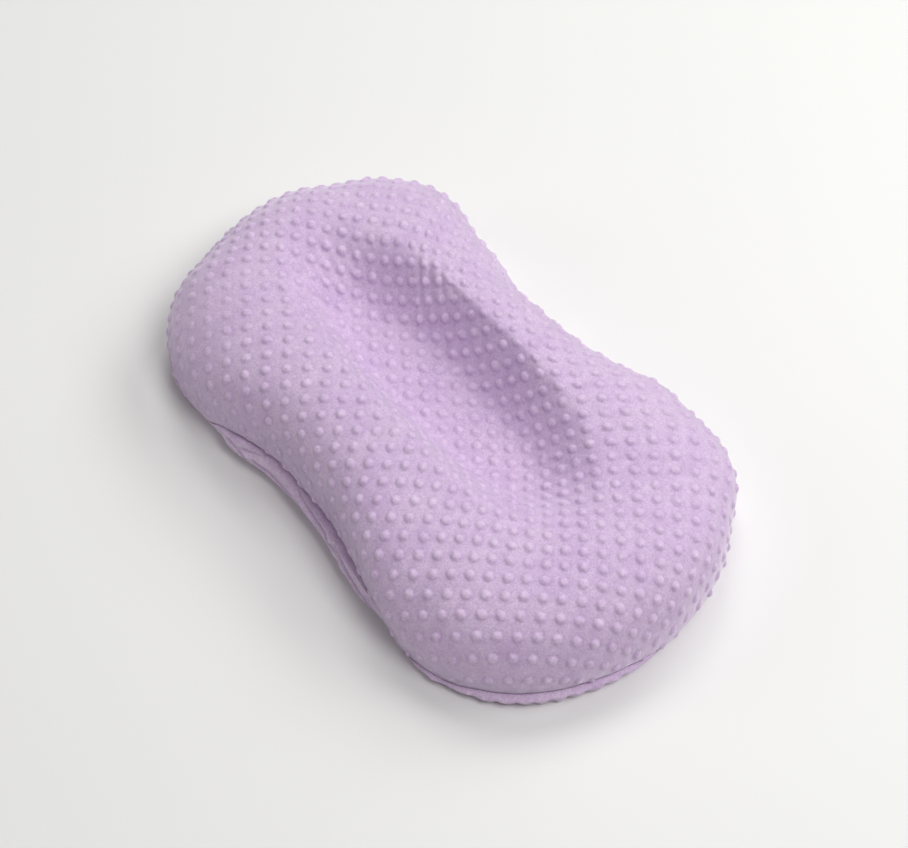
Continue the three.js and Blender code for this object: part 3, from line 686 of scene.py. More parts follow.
def woven_material(name, light, dark, scale, rough=0.85, turn=0.0, bump=0.0003):
    m, nt, bsdf = new_material(name)
    co = mapped(nt, object_coord(nt), turn=(0, 0, turn))
    warp = wave_node(nt, co, scale, "X", "SIN", 0.4)
    weft = wave_node(nt, co, scale, "Y", "SIN", 0.4)
    weave = math_node(nt, "MULTIPLY", warp, weft)
    slub = noise_node(nt, co, 60, 4, 0.6)
    col = ramp(nt, weave, [(0.0, dark), (0.8, light)])
    col = mixed(nt, "MULTIPLY", 0.5, col, ramp(nt, slub, [(0.3, (0.9, 0.9, 0.9, 1)), (0.7, (1, 1, 1, 1))]))
    nt.links.new(col, bsdf.inputs["Base Color"])
    bsdf.inputs["Roughness"].default_value = rough
    bsdf.inputs["Sheen Weight"].default_value = 0.15
    bumps(nt, bsdf, (weave, 0.7, bump))
    return m


CASING = woven_material("casing_cloth", srgb(244, 242, 237), srgb(222, 219, 212), 700)
TAPE = woven_material("zipper_tape", srgb(194, 168, 203), srgb(158, 130, 170), 520, 0.8, math.radians(45))


def fill_material():
    m, nt, bsdf = new_material("polyester_fill")
    co = object_coord(nt)
    tuft = noise_node(nt, co, 55, 6, 0.7)
    fibre = wave_node(nt, co, 260, "DIAGONAL", "SIN", 14)
    col = ramp(nt, mixed(nt, "MIX", 0.4, tuft, fibre), [(0.25, srgb(224, 225, 224)), (0.7, srgb(250, 250, 248))])
    nt.links.new(col, bsdf.inputs["Base Color"])
    bsdf.inputs["Roughness"].default_value = 1.0
    bsdf.inputs["Sheen Weight"].default_value = 0.4
    bumps(nt, bsdf, (tuft, 0.8, 0.003), (fibre, 0.5, 0.0006))
    return m


FILL = fill_material()


def nylon_material():
    m, nt, bsdf = new_material("zipper_coil")
    co = object_coord(nt)
    tone = noise_node(nt, co, 300, 2, 0.5)
    nt.links.new(ramp(nt, tone, [(0.3, srgb(178, 150, 190)), (0.7, srgb(196, 170, 206))]), bsdf.inputs["Base Color"])
    bsdf.inputs["Roughness"].default_value = 0.38
    bsdf.inputs["Subsurface Weight"].default_value = 0.0
    bumps(nt, bsdf, (tone, 0.15, 0.0002))
    return m


NYLON = nylon_material()


def metal_material():
    m, nt, bsdf = new_material("zipper_metal")
    co = object_coord(nt)
    scratch = noise_node(nt, mapped(nt, co, scale=(1, 14, 1)), 260, 4, 0.65)
    cloud = noise_node(nt, co, 180, 3, 0.5)
    nt.links.new(ramp(nt, cloud, [(0.3, srgb(176, 174, 180)), (0.7, srgb(212, 211, 216))]), bsdf.inputs["Base Color"])
    bsdf.inputs["Metallic"].default_value = 1.0
    nt.links.new(ramp(nt, scratch, [(0.3, (0.22, 0.22, 0.22, 1)), (0.75, (0.42, 0.42, 0.42, 1))]), bsdf.inputs["Roughness"])
    bumps(nt, bsdf, (scratch, 0.12, 0.0002))
    return m


METAL = metal_material()


def satin_material():
    m, nt, bsdf = new_material("satin_tag")
    co = object_coord(nt)
    rib = wave_node(nt, co, 900, "Z", "SIN", 0.3)
    soft = noise_node(nt, co, 90, 3, 0.5)
    col = mixed(nt, "MULTIPLY", 0.6, ramp(nt, rib, [(0.1, srgb(232, 229, 224)), (0.9, srgb(248, 246, 243))]),
                ramp(nt, soft, [(0.3, (0.95, 0.95, 0.95, 1)), (0.7, (1, 1, 1, 1))]))
    nt.links.new(col, bsdf.inputs["Base Color"])
    bsdf.inputs["Roughness"].default_value = 0.42
    bsdf.inputs["Sheen Weight"].default_value = 0.25
    bumps(nt, bsdf, (rib, 0.25, 0.0002))
    return m


SATIN = satin_material()

# ------------------------------------------------------------------ cover: the upper panel
RIM_N = int(round(AROUND / 1.7))
RIM_U = np.arange(RIM_N) / RIM_N


def rim_flat():
    order = np.argsort(node_u[:n_loop])
    lu, lp = node_u[:n_loop][order], flat[:n_loop][order]
    lu, lp = np.concatenate([lu - 1, lu, lu + 1]), np.vstack([lp, lp, lp])
    b = np.stack([np.interp(RIM_U, lu, lp[:, a]) for a in (0, 1)], 1)
    for _ in range(6):
        b = (np.roll(b, 1, 0) + 2 * b + np.roll(b, -1, 0)) / 4
    return b


def folds_up(at, p, u, v, arc):
    """Wrinkles of the upper cloth, measured along its normal."""
    out = np.zeros(len(at))
    # gathers that run down the inner wall at the far head corner
    o, ax = np.array([80.0, 84.0]), np.array([-0.58, -0.815])
    d = at - o
    a, b = d @ ax, d @ np.array([0.815, -0.58])
    bend = b + 2.5 * np.sin(a / 17.0)
    wave = np.cos(2 * np.pi * bend / 12.5)
    out += -1.5 * (np.clip(-wave, 0, 1) ** 1.3 - 0.3 * np.clip(wave, 0, 1)) * np.exp(-(a / 34) ** 2) * smooth((28 - np.abs(b)) / 16)
    # soft folds all round the inner wall
    w = smooth((v - 1.12) / 0.3) * smooth((2.05 - v) / 0.35)
    ph = u * 62 * 2 * np.pi + 3.0 * ring_noise(u, 24, 31)
    out += 0.75 * w * np.sin(ph) * np.clip(0.25 + ring_noise(u, 30, 32), 0, 1)
    return out


def surface_noise(p):
    return 0.55 * noise3(p, 95, 5) + 0.3 * noise3(p, 46, 6) + 0.15 * noise3(p, 22, 7)


b2 = rim_flat()
rim_side = side_of(b2)
centres = upper_dots()
pts = dot_points(centres, (1.4, 2.7, 3.8, 4.8, 5.9), (6, 11, 15, 18, 18), 7.1, 2.5, rim_side, 1.0)
at = np.vstack([b2, pts])
top_tri = cdt(at, RIM_N)
side = np.concatenate([np.zeros(RIM_N), rim_side(pts)])


def drape_top(at, rim_u, details):
    """Places in space of flat places on the upper panel, the first of them on its rim."""
    p, n, f = UP.at(at)
    u = np.mod(np.arctan2(f[:, 1], f[:, 0]) / (2 * np.pi), 1)
    arc, v = np.maximum(f[:, 2], 0), f[:, 3]
    n_b = len(rim_u)
    u[:n_b], arc[:n_b] = rim_u, 0
    p[:n_b] = form(rim_u, np.zeros(n_b))
    n[:n_b, :2], n[:n_b, 2] = -inward(rim_u), 0
    h = surface_noise(p) * smooth(arc / 30)
    if details:
        h += folds_up(at, p, u, v, arc)
    # gathers that the seam makes in the cloth above it
    ph = u * 100 * 2 * np.pi + 2.4 * ring_noise(u, 30, 21) + 1.2 * ring_noise(u, 70, 22)
    amp = (0.35 + 0.5 * (0.5 + 0.5 * ring_noise(u, 18, 23))) * (1 - 0.6 * waist_of(u))
    h += amp * np.sin(ph) * smooth(arc / 6) * np.exp(-arc / 15)
    dots = None
    if details:
        dh, dots = dot_height(at, centres, DOT_R, DOT_H, 11)
        fade = smooth((side - 0.6) / (3.5 + 3.5 * waist_of(u)))
        worn = 1 - 0.6 * np.exp(-(((p[:, 0] + 118) / 48) ** 2 + ((p[:, 1] - 190) / 55) ** 2))
        h += dh * fade * worn
        dots = dots * fade * worn
    q = p + n * h[:, None]
    q[:, :2] += inward(u) * (settle(u, v, arc) + along(u, PINCH) * np.exp(-(arc / 3.2) ** 2))[:, None]
    hang = droop(u)
    q[:, 2] += seam_wave(u) * np.exp(-arc / 12) - hang * np.exp(-(arc / (14 + hang)) ** 2)
    return q, n, dots


top, top_n, top_dot_painted_light = drape_top(at, RIM_U, True)
lining = np.vstack([b2, hex_fill(rim_side, b2.min(0), b2.max(0), 6.0, 3.6)])
under, under_n, _ = drape_top(lining, RIM_U, False)
under = under - under_n * 2.3
under[:RIM_N] = top[:RIM_N]
under[:RIM_N, :2] += inward(RIM_U) * 2.0
verts, tri = two_faced(top, top_tri, under, cdt(lining, RIM_N), RIM_N)
cover_top = new_mesh("cover_top_plush", verts, tri)
# the dot attribute carries each dot's painted highlight and painted shade
point_value(cover_top, "dot", np.concatenate([top_dot_painted_light, np.zeros(len(under))]))
dress(cover_top, PLUSH, ["cover_top_panel"])
print("top", len(top), "points", len(tri), "faces")

# ------------------------------------------------------------------ cover: the two bottom panels


def wall(u, a):
    """The bottom cloth's turn from the seam, a = 0, in and down to the ground, a = 1."""
    p, i = seam(u), inward(u)
    t = a * np.pi / 2
    z0 = seam_z(u) - 0.6
    k = BOTTOM_TURN * (1 - np.cos(t))
    return np.concatenate([p + i * k[..., None], (z0 * (1 - np.sin(t)))[..., None]], -1)


WT = wall(*np.meshgrid(TU, np.linspace(0, 1, 61), indexing="ij"))
WARC = np.concatenate([np.zeros((361, 1)), np.cumsum(np.linalg.norm(np.diff(WT, axis=1), axis=2), 1)], 1)


def wall_arc(u, a):
    fu, fv = np.mod(u, 1) * 360, np.clip(a, 0, 1) * 60
    i, j = np.minimum(fu.astype(int), 359), np.minimum(fv.astype(int), 59)
    p, q = fu - i, fv - j
    return (WARC[i, j] * (1 - p) * (1 - q) + WARC[i + 1, j] * p * (1 - q)
            + WARC[i, j + 1] * (1 - p) * q + WARC[i + 1, j + 1] * p * q)


def wall_flat(u, a):
    one = np.ones_like(u)
    return seam(u) + inward(u) * BOTTOM_TURN - inward(u) * (wall_arc(u, one) - wall_arc(u, a))[..., None]


def under_cloth():
    us, vs = [], []
    for k, a in enumerate(np.arange(9) / 9):
        u = ring_nodes(wall, a, 4.5, 0.5 * (k % 2) if k else 0)
        us.append(u)
        vs.append(np.full(len(u), a))
    u, a = np.concatenate(us), np.concatenate(vs)
    ground = seam(RIM_U[::3]) + inward(RIM_U[::3]) * BOTTOM_TURN
    g_side = side_of(ground)
    g = hex_fill(g_side, ground.min(0), ground.max(0), 5.0, 0.5)
    gu_tree = tree_of(ground)
    gu = np.array([RIM_U[::3][gu_tree.find((p[0], p[1], 0))[1]] for p in g.tolist()])
    gd = g_side(g)
    flat_ = np.vstack([wall_flat(u, a), g])
    space = np.vstack([wall(u, a), np.column_stack([g, np.zeros(len(g))])])
    uu = np.concatenate([u, gu])
    arc = np.concatenate([wall_arc(u, a), wall_arc(gu, np.ones(len(gu))) + gd])
    low = np.concatenate([a, 1 + gd / 40])
    return Cloth(flat_, space, np.column_stack([np.cos(uu * 2 * np.pi), np.sin(uu * 2 * np.pi), arc, low]), 5.0, 1)


DOWN = under_cloth()
if DOWN.at(np.array([[60.0, 0.0]]))[1][0, 2] > 0:
    DOWN.flip_by = -1


def groove(p):
    return GROOVE_Z * smooth((GROOVE_FOOT - np.abs(p[:, 0])) / (GROOVE_FOOT - GROOVE_FLAT)) * \
        smooth((GROOVE_Y_FOOT - np.abs(p[:, 1])) / (GROOVE_Y_FOOT - GROOVE_Y_FLAT))


under_centres = grid_dots(45, 420)
# creases in the band of cloth under the seam at the waist: (y, drop) at each end, depth
CREASES = ((66, 3.5, 96, 9, 3.6), (24, 4.5, -58, 13, 5.0), (-44, 6, -108, 22, 4.8), (78, 13, 30, 22, 3.2), (110, 9, 84, 20, 2.4), (6, 17, -40, 27, 2.2))


def waist_folds(u, arc):
    """The smooth folded band under the seam at the waist, along its normal."""
    p = seam(u)
    out = np.zeros(len(u))
    yy = np.where(p[:, 0] < 0, p[:, 1], -p[:, 1] * 0.9 - 12)
    for y0, d0, y1, d1, depth in CREASES:
        t = np.clip(((yy - y0) * (y1 - y0) + (arc - d0) * (d1 - d0)) / ((y1 - y0) ** 2 + (d1 - d0) ** 2), 0, 1)
        line_y, line_d = y0 + (y1 - y0) * t, d0 + (d1 - d0) * t
        dd = arc - line_d
        r = np.hypot((yy - line_y) * 0.6, dd)
        ends = smooth((1 - t) / 0.15) * 0.75 + 0.25
        below = np.where(dd > 0, 1.0, 0.35)
        out += ends * depth * (-np.exp(-(r / 1.7) ** 2) + 0.6 * below * np.exp(-((r - 4.4) / 2.6) ** 2))
    return out * smooth(arc / 3) * waist_of(u)


def drape_under(at, details, side_d, edge_d):
    p, n, f = DOWN.at(at)
    u = np.mod(np.arctan2(f[:, 1], f[:, 0]) / (2 * np.pi), 1)
    arc, low = np.maximum(f[:, 2], 0), f[:, 3]
    on_wall = smooth((1.25 - low) / 0.3)
    flat_part = smooth((low - 0.75) / 0.4)
    waist = waist_of(u)
    # the band is puffed out by the filling behind it, and ruffled where the seam gathers it
    h = on_wall * (0.8 * np.sin(np.clip(low, 0, 1) ** 0.7 * np.pi) + 2.8 * waist * np.sin(np.clip(low, 0, 1) ** 1.1 * np.pi))
    in_groove = groove(p) / GROOVE_Z
    dots = np.zeros(len(p))
    if details:
        ph = u * 88 * np.pi + 3.0 * ring_noise(u, 22, 41)
        lobe = np.sqrt(np.sin(ph) ** 2 + 0.02)
        ruffle = lobe * (2.9 + 1.1 * ring_noise(u, 20, 43)) * (1 - 0.9 * waist) * np.clip(1 - droop(u) / 9, 0, 1)
        h += ruffle * on_wall * np.sin(np.clip(low, 0, 1) ** 0.8 * np.pi)
        h += waist_folds(u, arc) * on_wall
        h += 0.35 * noise3(p, 30, 44) * smooth(arc / 8) * on_wall
        h += (1.2 * np.exp(-((arc - 3.6) / 1.7) ** 2) * (0.75 + 0.25 * np.sin(ph * 2)) - 0.8 * np.exp(-((arc - 7.5) / 2.0) ** 2)) * (1 - 0.8 * waist)
        dh, dots = dot_height(at, under_centres, DOT_R, 1.7, 51)
        fade = smooth((side_d - 1.0) / 4) * (1 - 0.93 * waist * (1 - flat_part)) * (1 - in_groove)
        h += dh * fade * (1 - 0.5 * on_wall)
        dots = dots * fade
    q = p + n * h[:, None]
    wrinkle = 0.5 * noise3(p * np.array([1, 1, 0]), 46, 45) + 0.25 * noise3(p * np.array([1, 1, 0]), 20, 46)
    q[:, 2] += flat_part * (1.85 + (7.1 - 1.85) * in_groove + np.clip(wrinkle, -0.2, 1) * smooth(arc / 40) * (1 - in_groove))
    if details:
        q[:, 2] = np.maximum(q[:, 2], 0.05)
        # the hem rolls up at the slot
        q[:, 2] += 0.9 * (1 - np.sqrt(np.clip(1 - (1 - np.clip(edge_d / 1.2, 0, 1)) ** 2, 0, 1)))
    c, b = crease(u), along(u, UNDER)
    q[:, :2] += inward(u) * (b * smooth((1.6 - low) / 0.6) + (c - b) * np.exp(-(arc / (2.6 - 0.5 * waist)) ** 2))[:, None]
    q[:, 2] += seam_wave(u) * np.exp(-arc / 10) - 0.3 * np.exp(-(arc / 2) ** 2) + 2.4 * waist * np.exp(-((arc - 3.4) / 2.4) ** 2)
    q[:, 2] -= droop(u) * np.clip(q[:, 2] / seam_z(u), 0, 1) ** 1.5 * smooth((1.3 - low) / 0.3)
    return q, n, u, on_wall * waist, dots


def bottom_panel(name, sign, node):
    us = RIM_U[(seam(RIM_U)[:, 0] * sign) > 0.6]
    rim = wall_flat(us, np.zeros(len(us)))
    y_head, y_foot = wall_flat(np.array([0.0]), np.zeros(1))[0, 1], wall_flat(np.array([0.5]), np.zeros(1))[0, 1]
    x0 = 0.15 * sign
    step_y = lambda a, b: np.linspace(a, b, max(2, int(abs(b - a) / 1.8)))
    up = [(x0, y) for y in step_y(y_foot, -SLOT_Y)[:-1]]
    up += [(x, -SLOT_Y) for x in np.linspace(x0, SLOT_HALF * sign, 5)[:-1]]
    up += [(SLOT_HALF * sign, y) for y in step_y(-SLOT_Y, SLOT_Y)[:-1]]
    up += [(x, SLOT_Y) for x in np.linspace(SLOT_HALF * sign, x0, 5)[:-1]]
    up += [(x0, y) for y in step_y(SLOT_Y, y_head)]
    up = np.array(up)
    outline = np.vstack([rim, up if sign > 0 else up[::-1]])
    n_b, k = len(outline), len(us)
    sd = side_of(outline)
    pts = dot_points(under_centres, (1.7, 3.3, 4.9, 6.1), (6, 11, 14, 14), 7.3, 3.3, sd, 1.1)
    # closer points along the folded hem and on the wall, for its folds
    yy = step_y(-SLOT_Y + 1, SLOT_Y - 1)
    hem = np.vstack([np.column_stack([np.full(len(yy), (SLOT_HALF + e) * sign), yy + (j % 2) * 0.9]) for j, e in enumerate((0.3, 0.75, 1.3))])
    pts = pts[~((np.abs(pts[:, 0]) < SLOT_HALF + 2.2) & (np.abs(pts[:, 1]) < SLOT_Y + 1))]
    wall_line = wall_flat(RIM_U, np.zeros(RIM_N))
    wall_side = side_of(wall_line)
    extra = hex_fill(sd, outline.min(0), outline.max(0), 1.9, 1.0)
    extra = extra[wall_side(extra) < np.where(np.abs(extra[:, 1] + 8) < 150, 36, 15)]
    near = tree_of(extra)
    pts = pts[np.array([near.find((q[0], q[1], 0))[2] for q in pts.tolist()]) > 1.6]
    at = np.vstack([outline, hem, extra, pts])
    all_side = np.abs(sd(at))
    all_side[:n_b] = 0
    slot_d = np.where(np.abs(at[:, 1]) < SLOT_Y + 0.01, np.abs(at[:, 0]) - SLOT_HALF,
                      np.minimum(9, np.maximum(np.abs(at[:, 1]) - SLOT_Y, 0) + np.abs(at[:, 0])))
    tri = cdt(at, n_b)
    q, n, _, _, dots = drape_under(at, True, all_side, np.maximum(slot_d, 0))
    q[:k, 2] = seam_z(us) - 0.9 + seam_wave(us) - droop(us)
    q[:k, :2] = seam(us) + inward(us) * crease(us)[:, None]
    lin = np.vstack([outline, hex_fill(sd, outline.min(0), outline.max(0), 7.0, 4.5)])
    lp, ln, _, folded, _ = drape_under(lin, False, np.ones(len(lin)), np.ones(len(lin)) * 9)
    lp = lp - ln * (1.6 + 2.2 * folded)[:, None]
    lp[:n_b] = q[:n_b]
    lp[:k, :2] += inward(us) * 1.6
    lp[k:n_b, 2] += 1.3
    verts, tris = two_faced(q, tri, lp, cdt(lin, n_b), n_b)
    ob = new_mesh(name, verts, tris)
    # the dot attribute carries each dot's painted highlight and painted shade
    point_value(ob, "dot", np.concatenate([dots, np.zeros(len(lp))]))
    dress(ob, PLUSH_UNDER_PAINTED_LIGHT, [node])
    print(name, len(tris), "faces")
    return ob


bottom_left = bottom_panel("cover_bottom_plush_left", -1, "cover_bottom_panel_left")
bottom_right = bottom_panel("cover_bottom_plush_right", 1, "cover_bottom_panel_right")


# ------------------------------------------------------------------ threads and ribbons
def tube(path, radius, sides=6, closed=False, ref=(0, 0, 1)):
    """A round thread along a path, as points and triangles."""
    path = np.asarray(path, float)
    n = len(path)
    radius = np.broadcast_to(np.asarray(radius, float), (n,))
    t = np.roll(path, -1, 0) - np.roll(path, 1, 0)
    if not closed:
        t[0], t[-1] = path[1] - path[0], path[-1] - path[-2]
    t /= np.linalg.norm(t, axis=1, keepdims=True)
    ref = np.broadcast_to(np.asarray(ref, float), (n, 3))
    a = ref - (ref * t).sum(1)[:, None] * t
    a /= np.linalg.norm(a, axis=1, keepdims=True)
    b = np.cross(t, a)
    w = np.arange(sides) / sides * 2 * np.pi
    v = path[:, None] + radius[:, None, None] * (np.cos(w)[None, :, None] * a[:, None] + np.sin(w)[None, :, None] * b[:, None])
    v = v.reshape(-1, 3)
    i, k = np.meshgrid(np.arange(n if closed else n - 1), np.arange(sides), indexing="ij")
    i, k = i.ravel(), k.ravel()
    j, m = (i + 1) % n, (k + 1) % sides
    p, q, r, s_ = i * sides + k, i * sides + m, j * sides + m, j * sides + k
    tri = np.vstack([np.stack([p, q, r], 1), np.stack([p, r, s_], 1)])
    if not closed:
        v = np.vstack([v, path[:1], path[-1:]])
        k = np.arange(sides)
        tri = np.vstack([tri, np.stack([np.full(sides, n * sides), (k + 1) % sides, k], 1),
                         np.stack([np.full(sides, n * sides + 1), (n - 1) * sides + k, (n - 1) * sides + (k + 1) % sides], 1)])
    return v, orient_local(v, tri)


def orient_local(v, tri):
    c = v.mean(0)
    return orient(v - c, tri)


def joined(parts):
    vs, ts, n = [], [], 0
    for v, t in parts:
        vs.append(v)
        ts.append(t + n)
        n += len(v)
    return np.vstack(vs), np.vstack(ts)


# the overlocked edge, seen between the two layers at the bottom of the crease
n_st = int(round(AROUND / 3.0)) * 4
su = np.arange(n_st) / n_st
zig = np.tile([0.0, 1.0, 0.0, -1.0], n_st // 4)
loop_in = crease(su) + 0.75 + 0.55 * np.tile([-1.0, 0.0, 1.0, 0.0], n_st // 4)
path = np.column_stack([seam(su) + inward(su) * loop_in[:, None], seam_z(su) - 0.15 + seam_wave(su) - droop(su) + 0.42 * zig])
overlock = new_mesh("perimeter_overlock_thread", *tube(path, 0.27, 6, True))
dress(overlock, THREAD, ["perimeter_seam_overlock"])

# a blank folded satin tag, caught in the seam at the right-hand waist
k_tag = np.argmin(np.where(seam(RIM_U)[:, 0] > 0, np.abs(seam(RIM_U)[:, 1] - 24), 999))
tu = RIM_U[k_tag:k_tag + 1]
origin, outw = seam(tu)[0] - inward(tu)[0] * 2.0, -inward(tu)[0]
prof = np.array([[-6.5, 17.2], [-3, 17.0], [0, 15.8], [3.5, 12.6], [6, 8], [7.3, 2.5], [8.0, -3.5], [8.4, -10.0]])
ps_ = np.concatenate([[0], np.cumsum(np.hypot(*np.diff(prof, axis=0).T))])
pt = np.linspace(0, ps_[-1], 30)
line = np.stack([np.interp(pt, ps_, prof[:, a]) for a in (0, 1)], 1)
for _ in range(4):
    line[1:-1] = (line[:-2] + 2 * line[1:-1] + line[2:]) / 4
tn = np.gradient(line, axis=0)
tn /= np.linalg.norm(tn, axis=1, keepdims=True)
nn = np.stack([-tn[:, 1], tn[:, 0]], 1)
part = (0.16 + 0.32 * np.sin(np.linspace(0, 1, 30) ** 1.3 * np.pi) + 0.1)[:, None]
fold_a = np.linspace(np.pi / 2, -np.pi / 2, 9)[1:-1]
fold = line[-1] + 0.26 * (np.cos(fold_a)[:, None] * tn[-1] + np.sin(fold_a)[:, None] * nn[-1])
ribbon = np.vstack([line + nn * part, fold, (line - nn * part)[::-1]])
rt = np.gradient(ribbon, axis=0)
rt /= np.linalg.norm(rt, axis=1, keepdims=True)
rn = np.stack([-rt[:, 1], rt[:, 0]], 1)
ring = np.vstack([ribbon + rn * 0.11, (ribbon - rn * 0.11)[::-1]])
widths = np.array([-12, -11.6, -8, -4, 0, 4, 8, 11.6, 12.0])
verts = []
for w in widths:
    curl = 0.5 * np.sin(w / 12 * 1.9 + ring[:, 0] * 0.16) * smooth((ring[:, 0] - 2) / 8)
    xy = origin + outw * (ring[:, :1] + curl[:, None]) + np.array([-outw[1], outw[0]]) * w
    verts.append(np.column_stack([xy, ring[:, 1] + 20 + 0.25 * np.cos(w / 7) * smooth((ring[:, 0] - 2) / 8)]))
nr, nw = len(ring), len(widths)
verts = np.vstack(verts)
i, k = np.meshgrid(np.arange(nw - 1), np.arange(nr), indexing="ij")
i, k = i.ravel(), k.ravel()
m = (k + 1) % nr
quads = np.vstack([np.stack([i * nr + k, i * nr + m, (i + 1) * nr + m], 1), np.stack([i * nr + k, (i + 1) * nr + m, (i + 1) * nr + k], 1)])
half = nr // 2
k = np.arange(half - 1)
caps = []
for row, flip in ((0, 1), (nw - 1, -1)):
    a, b, c, d_ = row * nr + k, row * nr + k + 1, row * nr + nr - 2 - k, row * nr + nr - 1 - k
    caps += [np.stack([a, b, c], 1)[:, ::-flip], np.stack([a, c, d_], 1)[:, ::-flip]]
tag_tri = np.vstack([quads, *caps])
tag = new_mesh("blank_satin_tag", verts, orient_local(verts, tag_tri))
dress(tag, SATIN, ["care_tag"])

# ------------------------------------------------------------------ zipper


def grid_solid(xs, ys, z_low, z_high):
    """A flat ribbon as a closed solid, from functions for its lower and upper face."""
    gx, gy = np.meshgrid(xs, ys, indexing="ij")
    lo = np.column_stack([gx.ravel(), gy.ravel(), z_low(gx, gy).ravel()])
    hi = np.column_stack([gx.ravel(), gy.ravel(), z_high(gx, gy).ravel()])
    nx, ny = gx.shape
    i, j = np.meshgrid(np.arange(nx - 1), np.arange(ny - 1), indexing="ij")
    a = (i * ny + j).ravel()
    b, c, d_ = a + ny, a + ny + 1, a + 1
    top_f = np.vstack([np.stack([a, b, c], 1), np.stack([a, c, d_], 1)])
    n = nx * ny
    ring_ = np.concatenate([np.arange(ny), np.arange(1, nx) * ny + ny - 1, (nx - 1) * ny + np.arange(ny - 2, -1, -1), np.arange(nx - 2, 0, -1) * ny])
    nxt = np.roll(ring_, -1)
    rim = np.vstack([np.stack([ring_, nxt, nxt + n], 1), np.stack([ring_, nxt + n, ring_ + n], 1)])
    v = np.vstack([lo, hi])
    return v, orient_local(v, np.vstack([top_f[:, ::-1], top_f + n, rim[:, ::1]]))


for sign, side_name in ((-1, "left"), (1, "right")):
    # woven tape, with a corded edge beside the coil
    xs = np.array([1.0, 1.35, 1.7, 2.1, 3.2, 4.2, 5.5, 7, 8.5, 10, 11.5, 13, 14.2, 14.7, 15.0])
    ys = np.arange(-215, 215.1, 2.15)
    wave = lambda x, y: 0.05 * np.sin(y * 0.35 + x * 0.2) + 0.03 * np.sin(y * 1.46)
    edge = lambda x: 0.13 * np.exp(-((np.abs(x) - 1.5) / 0.45) ** 2) - 0.1 * smooth((np.abs(x) - 14.2) / 0.8)
    v, t = grid_solid(xs * sign, ys, lambda x, y: 9.36 + wave(x, y) * 0.6 - edge(x) * 0.4, lambda x, y: 9.84 + wave(x, y) * 0.6 + edge(x) * 0.4)
    tape = new_mesh("woven_tape_" + side_name, v, t)
    dress(tape, TAPE, ["zipper_tape_" + side_name])

    # nylon coil: one filament wound round and round, its heads towards the middle
    pitch, per = 1.3, 10
    turns = int(388 / pitch)
    th = np.arange(turns * per + 1) / per * 2 * np.pi
    c, sn = np.cos(th), np.sin(th)
    power = lambda q, e: np.sign(q) * np.abs(q) ** e
    x = 1.84 - 1.14 * power(c, 0.8)
    z = 8.1 + 0.6 * power(sn, 0.75)
    y = -194 + th / (2 * np.pi) * pitch + (0.5 * pitch if sign > 0 else 0) + 0.18 * np.sin(th)
    rr = 0.27 + 0.05 * np.clip(c, 0, 1) ** 3
    v, t = tube(np.column_stack([x * sign, y, z]), rr, 5, False, (0, 1, 0))
    coil = new_mesh("nylon_coil_" + side_name, v, t)
    dress(coil, NYLON, ["zipper_coil_" + side_name])

    # lockstitches, each dipping into the cloth at its ends
    parts = []
    for k, y0 in enumerate(np.arange(-211.5, 209.5, 3.4)):
        wob = 0.12 * math.sin(k * 1.7)
        ys_ = np.array([0, 0.35, 1.3, 2.3, 2.65])
        xx = (9.8 + wob * np.array([1, 1, 0.4, 0, 0])) * sign
        zz = np.array([7.25, 6.88, 6.72, 6.88, 7.25])
        parts.append(tube(np.column_stack([xx, y0 + ys_, zz]), np.array([0.13, 0.25, 0.29, 0.25, 0.13]), 6, False, (1, 0, 0)))
    stitches = new_mesh("lockstitch_" + side_name, *joined(parts))
    dress(stitches, THREAD, ["zipper_stitching_" + side_name])

for sign, end in ((1, "head"), (-1, "foot")):
    n = 56
    xs = np.linspace(-7.7, 7.7, n)
    ys = sign * 205.2 + np.where(np.arange(n) % 2, 1.0, -1.0)
    fine_x, fine_y, fine_z = [], [], []
    for k in range(n - 1):
        for f in (0, 0.33, 0.67):
            fine_x.append(xs[k] + (xs[k + 1] - xs[k]) * f)
            fine_y.append(ys[k] + (ys[k + 1] - ys[k]) * f)
            fine_z.append(6.95 if f == 0 else 6.66)
    v, t = tube(np.column_stack([fine_x, fine_y, fine_z]), 0.2, 6, False, (0, 0, 1))
    tack = new_mesh("bar_tack_thread_" + end, v, t)
    dress(tack, THREAD, ["zipper_bar_tack_" + end])

# ------------------------------------------------------------------ casing, baffle and filling
ridge = lambda x, y: smooth((33 - np.abs(x)) / 15) * smooth((250 - np.abs(y)) / 24)

cas_u = RIM_U[::3]
cas_rim = b2[::3]
cas_flat = np.vstack([cas_rim, hex_fill(side_of(cas_rim), b2.min(0), b2.max(0), 6.5, 4.5)])
cas_tri = cdt(cas_flat, len(cas_u))
base, cn, _ = drape_top(cas_flat, cas_u, False)
crumple = 0.35 * noise3(base, 26, 61) + 0.2 * noise3(base, 11, 62)
outer = base - cn * (4.0 + 0.4 - crumple * 0.5)[:, None]
inner = outer - cn * 0.7
outer[:len(cas_u), 2] += 0.2
inner[:len(cas_u)] = outer[:len(cas_u)]
inner[:len(cas_u), :2] += inward(cas_u) * 0.8
verts, tri = two_faced(outer, cas_tri, inner, cas_tri, len(cas_u))
casing_top = new_mesh("casing_cloth_top", verts, tri)
dress(casing_top, CASING, ["casing_top_panel"])

cas_wall = wall_flat(cas_u, np.zeros(len(cas_u)))
cw_side = side_of(cas_wall)
cb_flat = np.vstack([cas_wall, hex_fill(cw_side, cas_wall.min(0), cas_wall.max(0), 6.5, 4.5)])
cb_tri = cdt(cb_flat, len(cas_u))


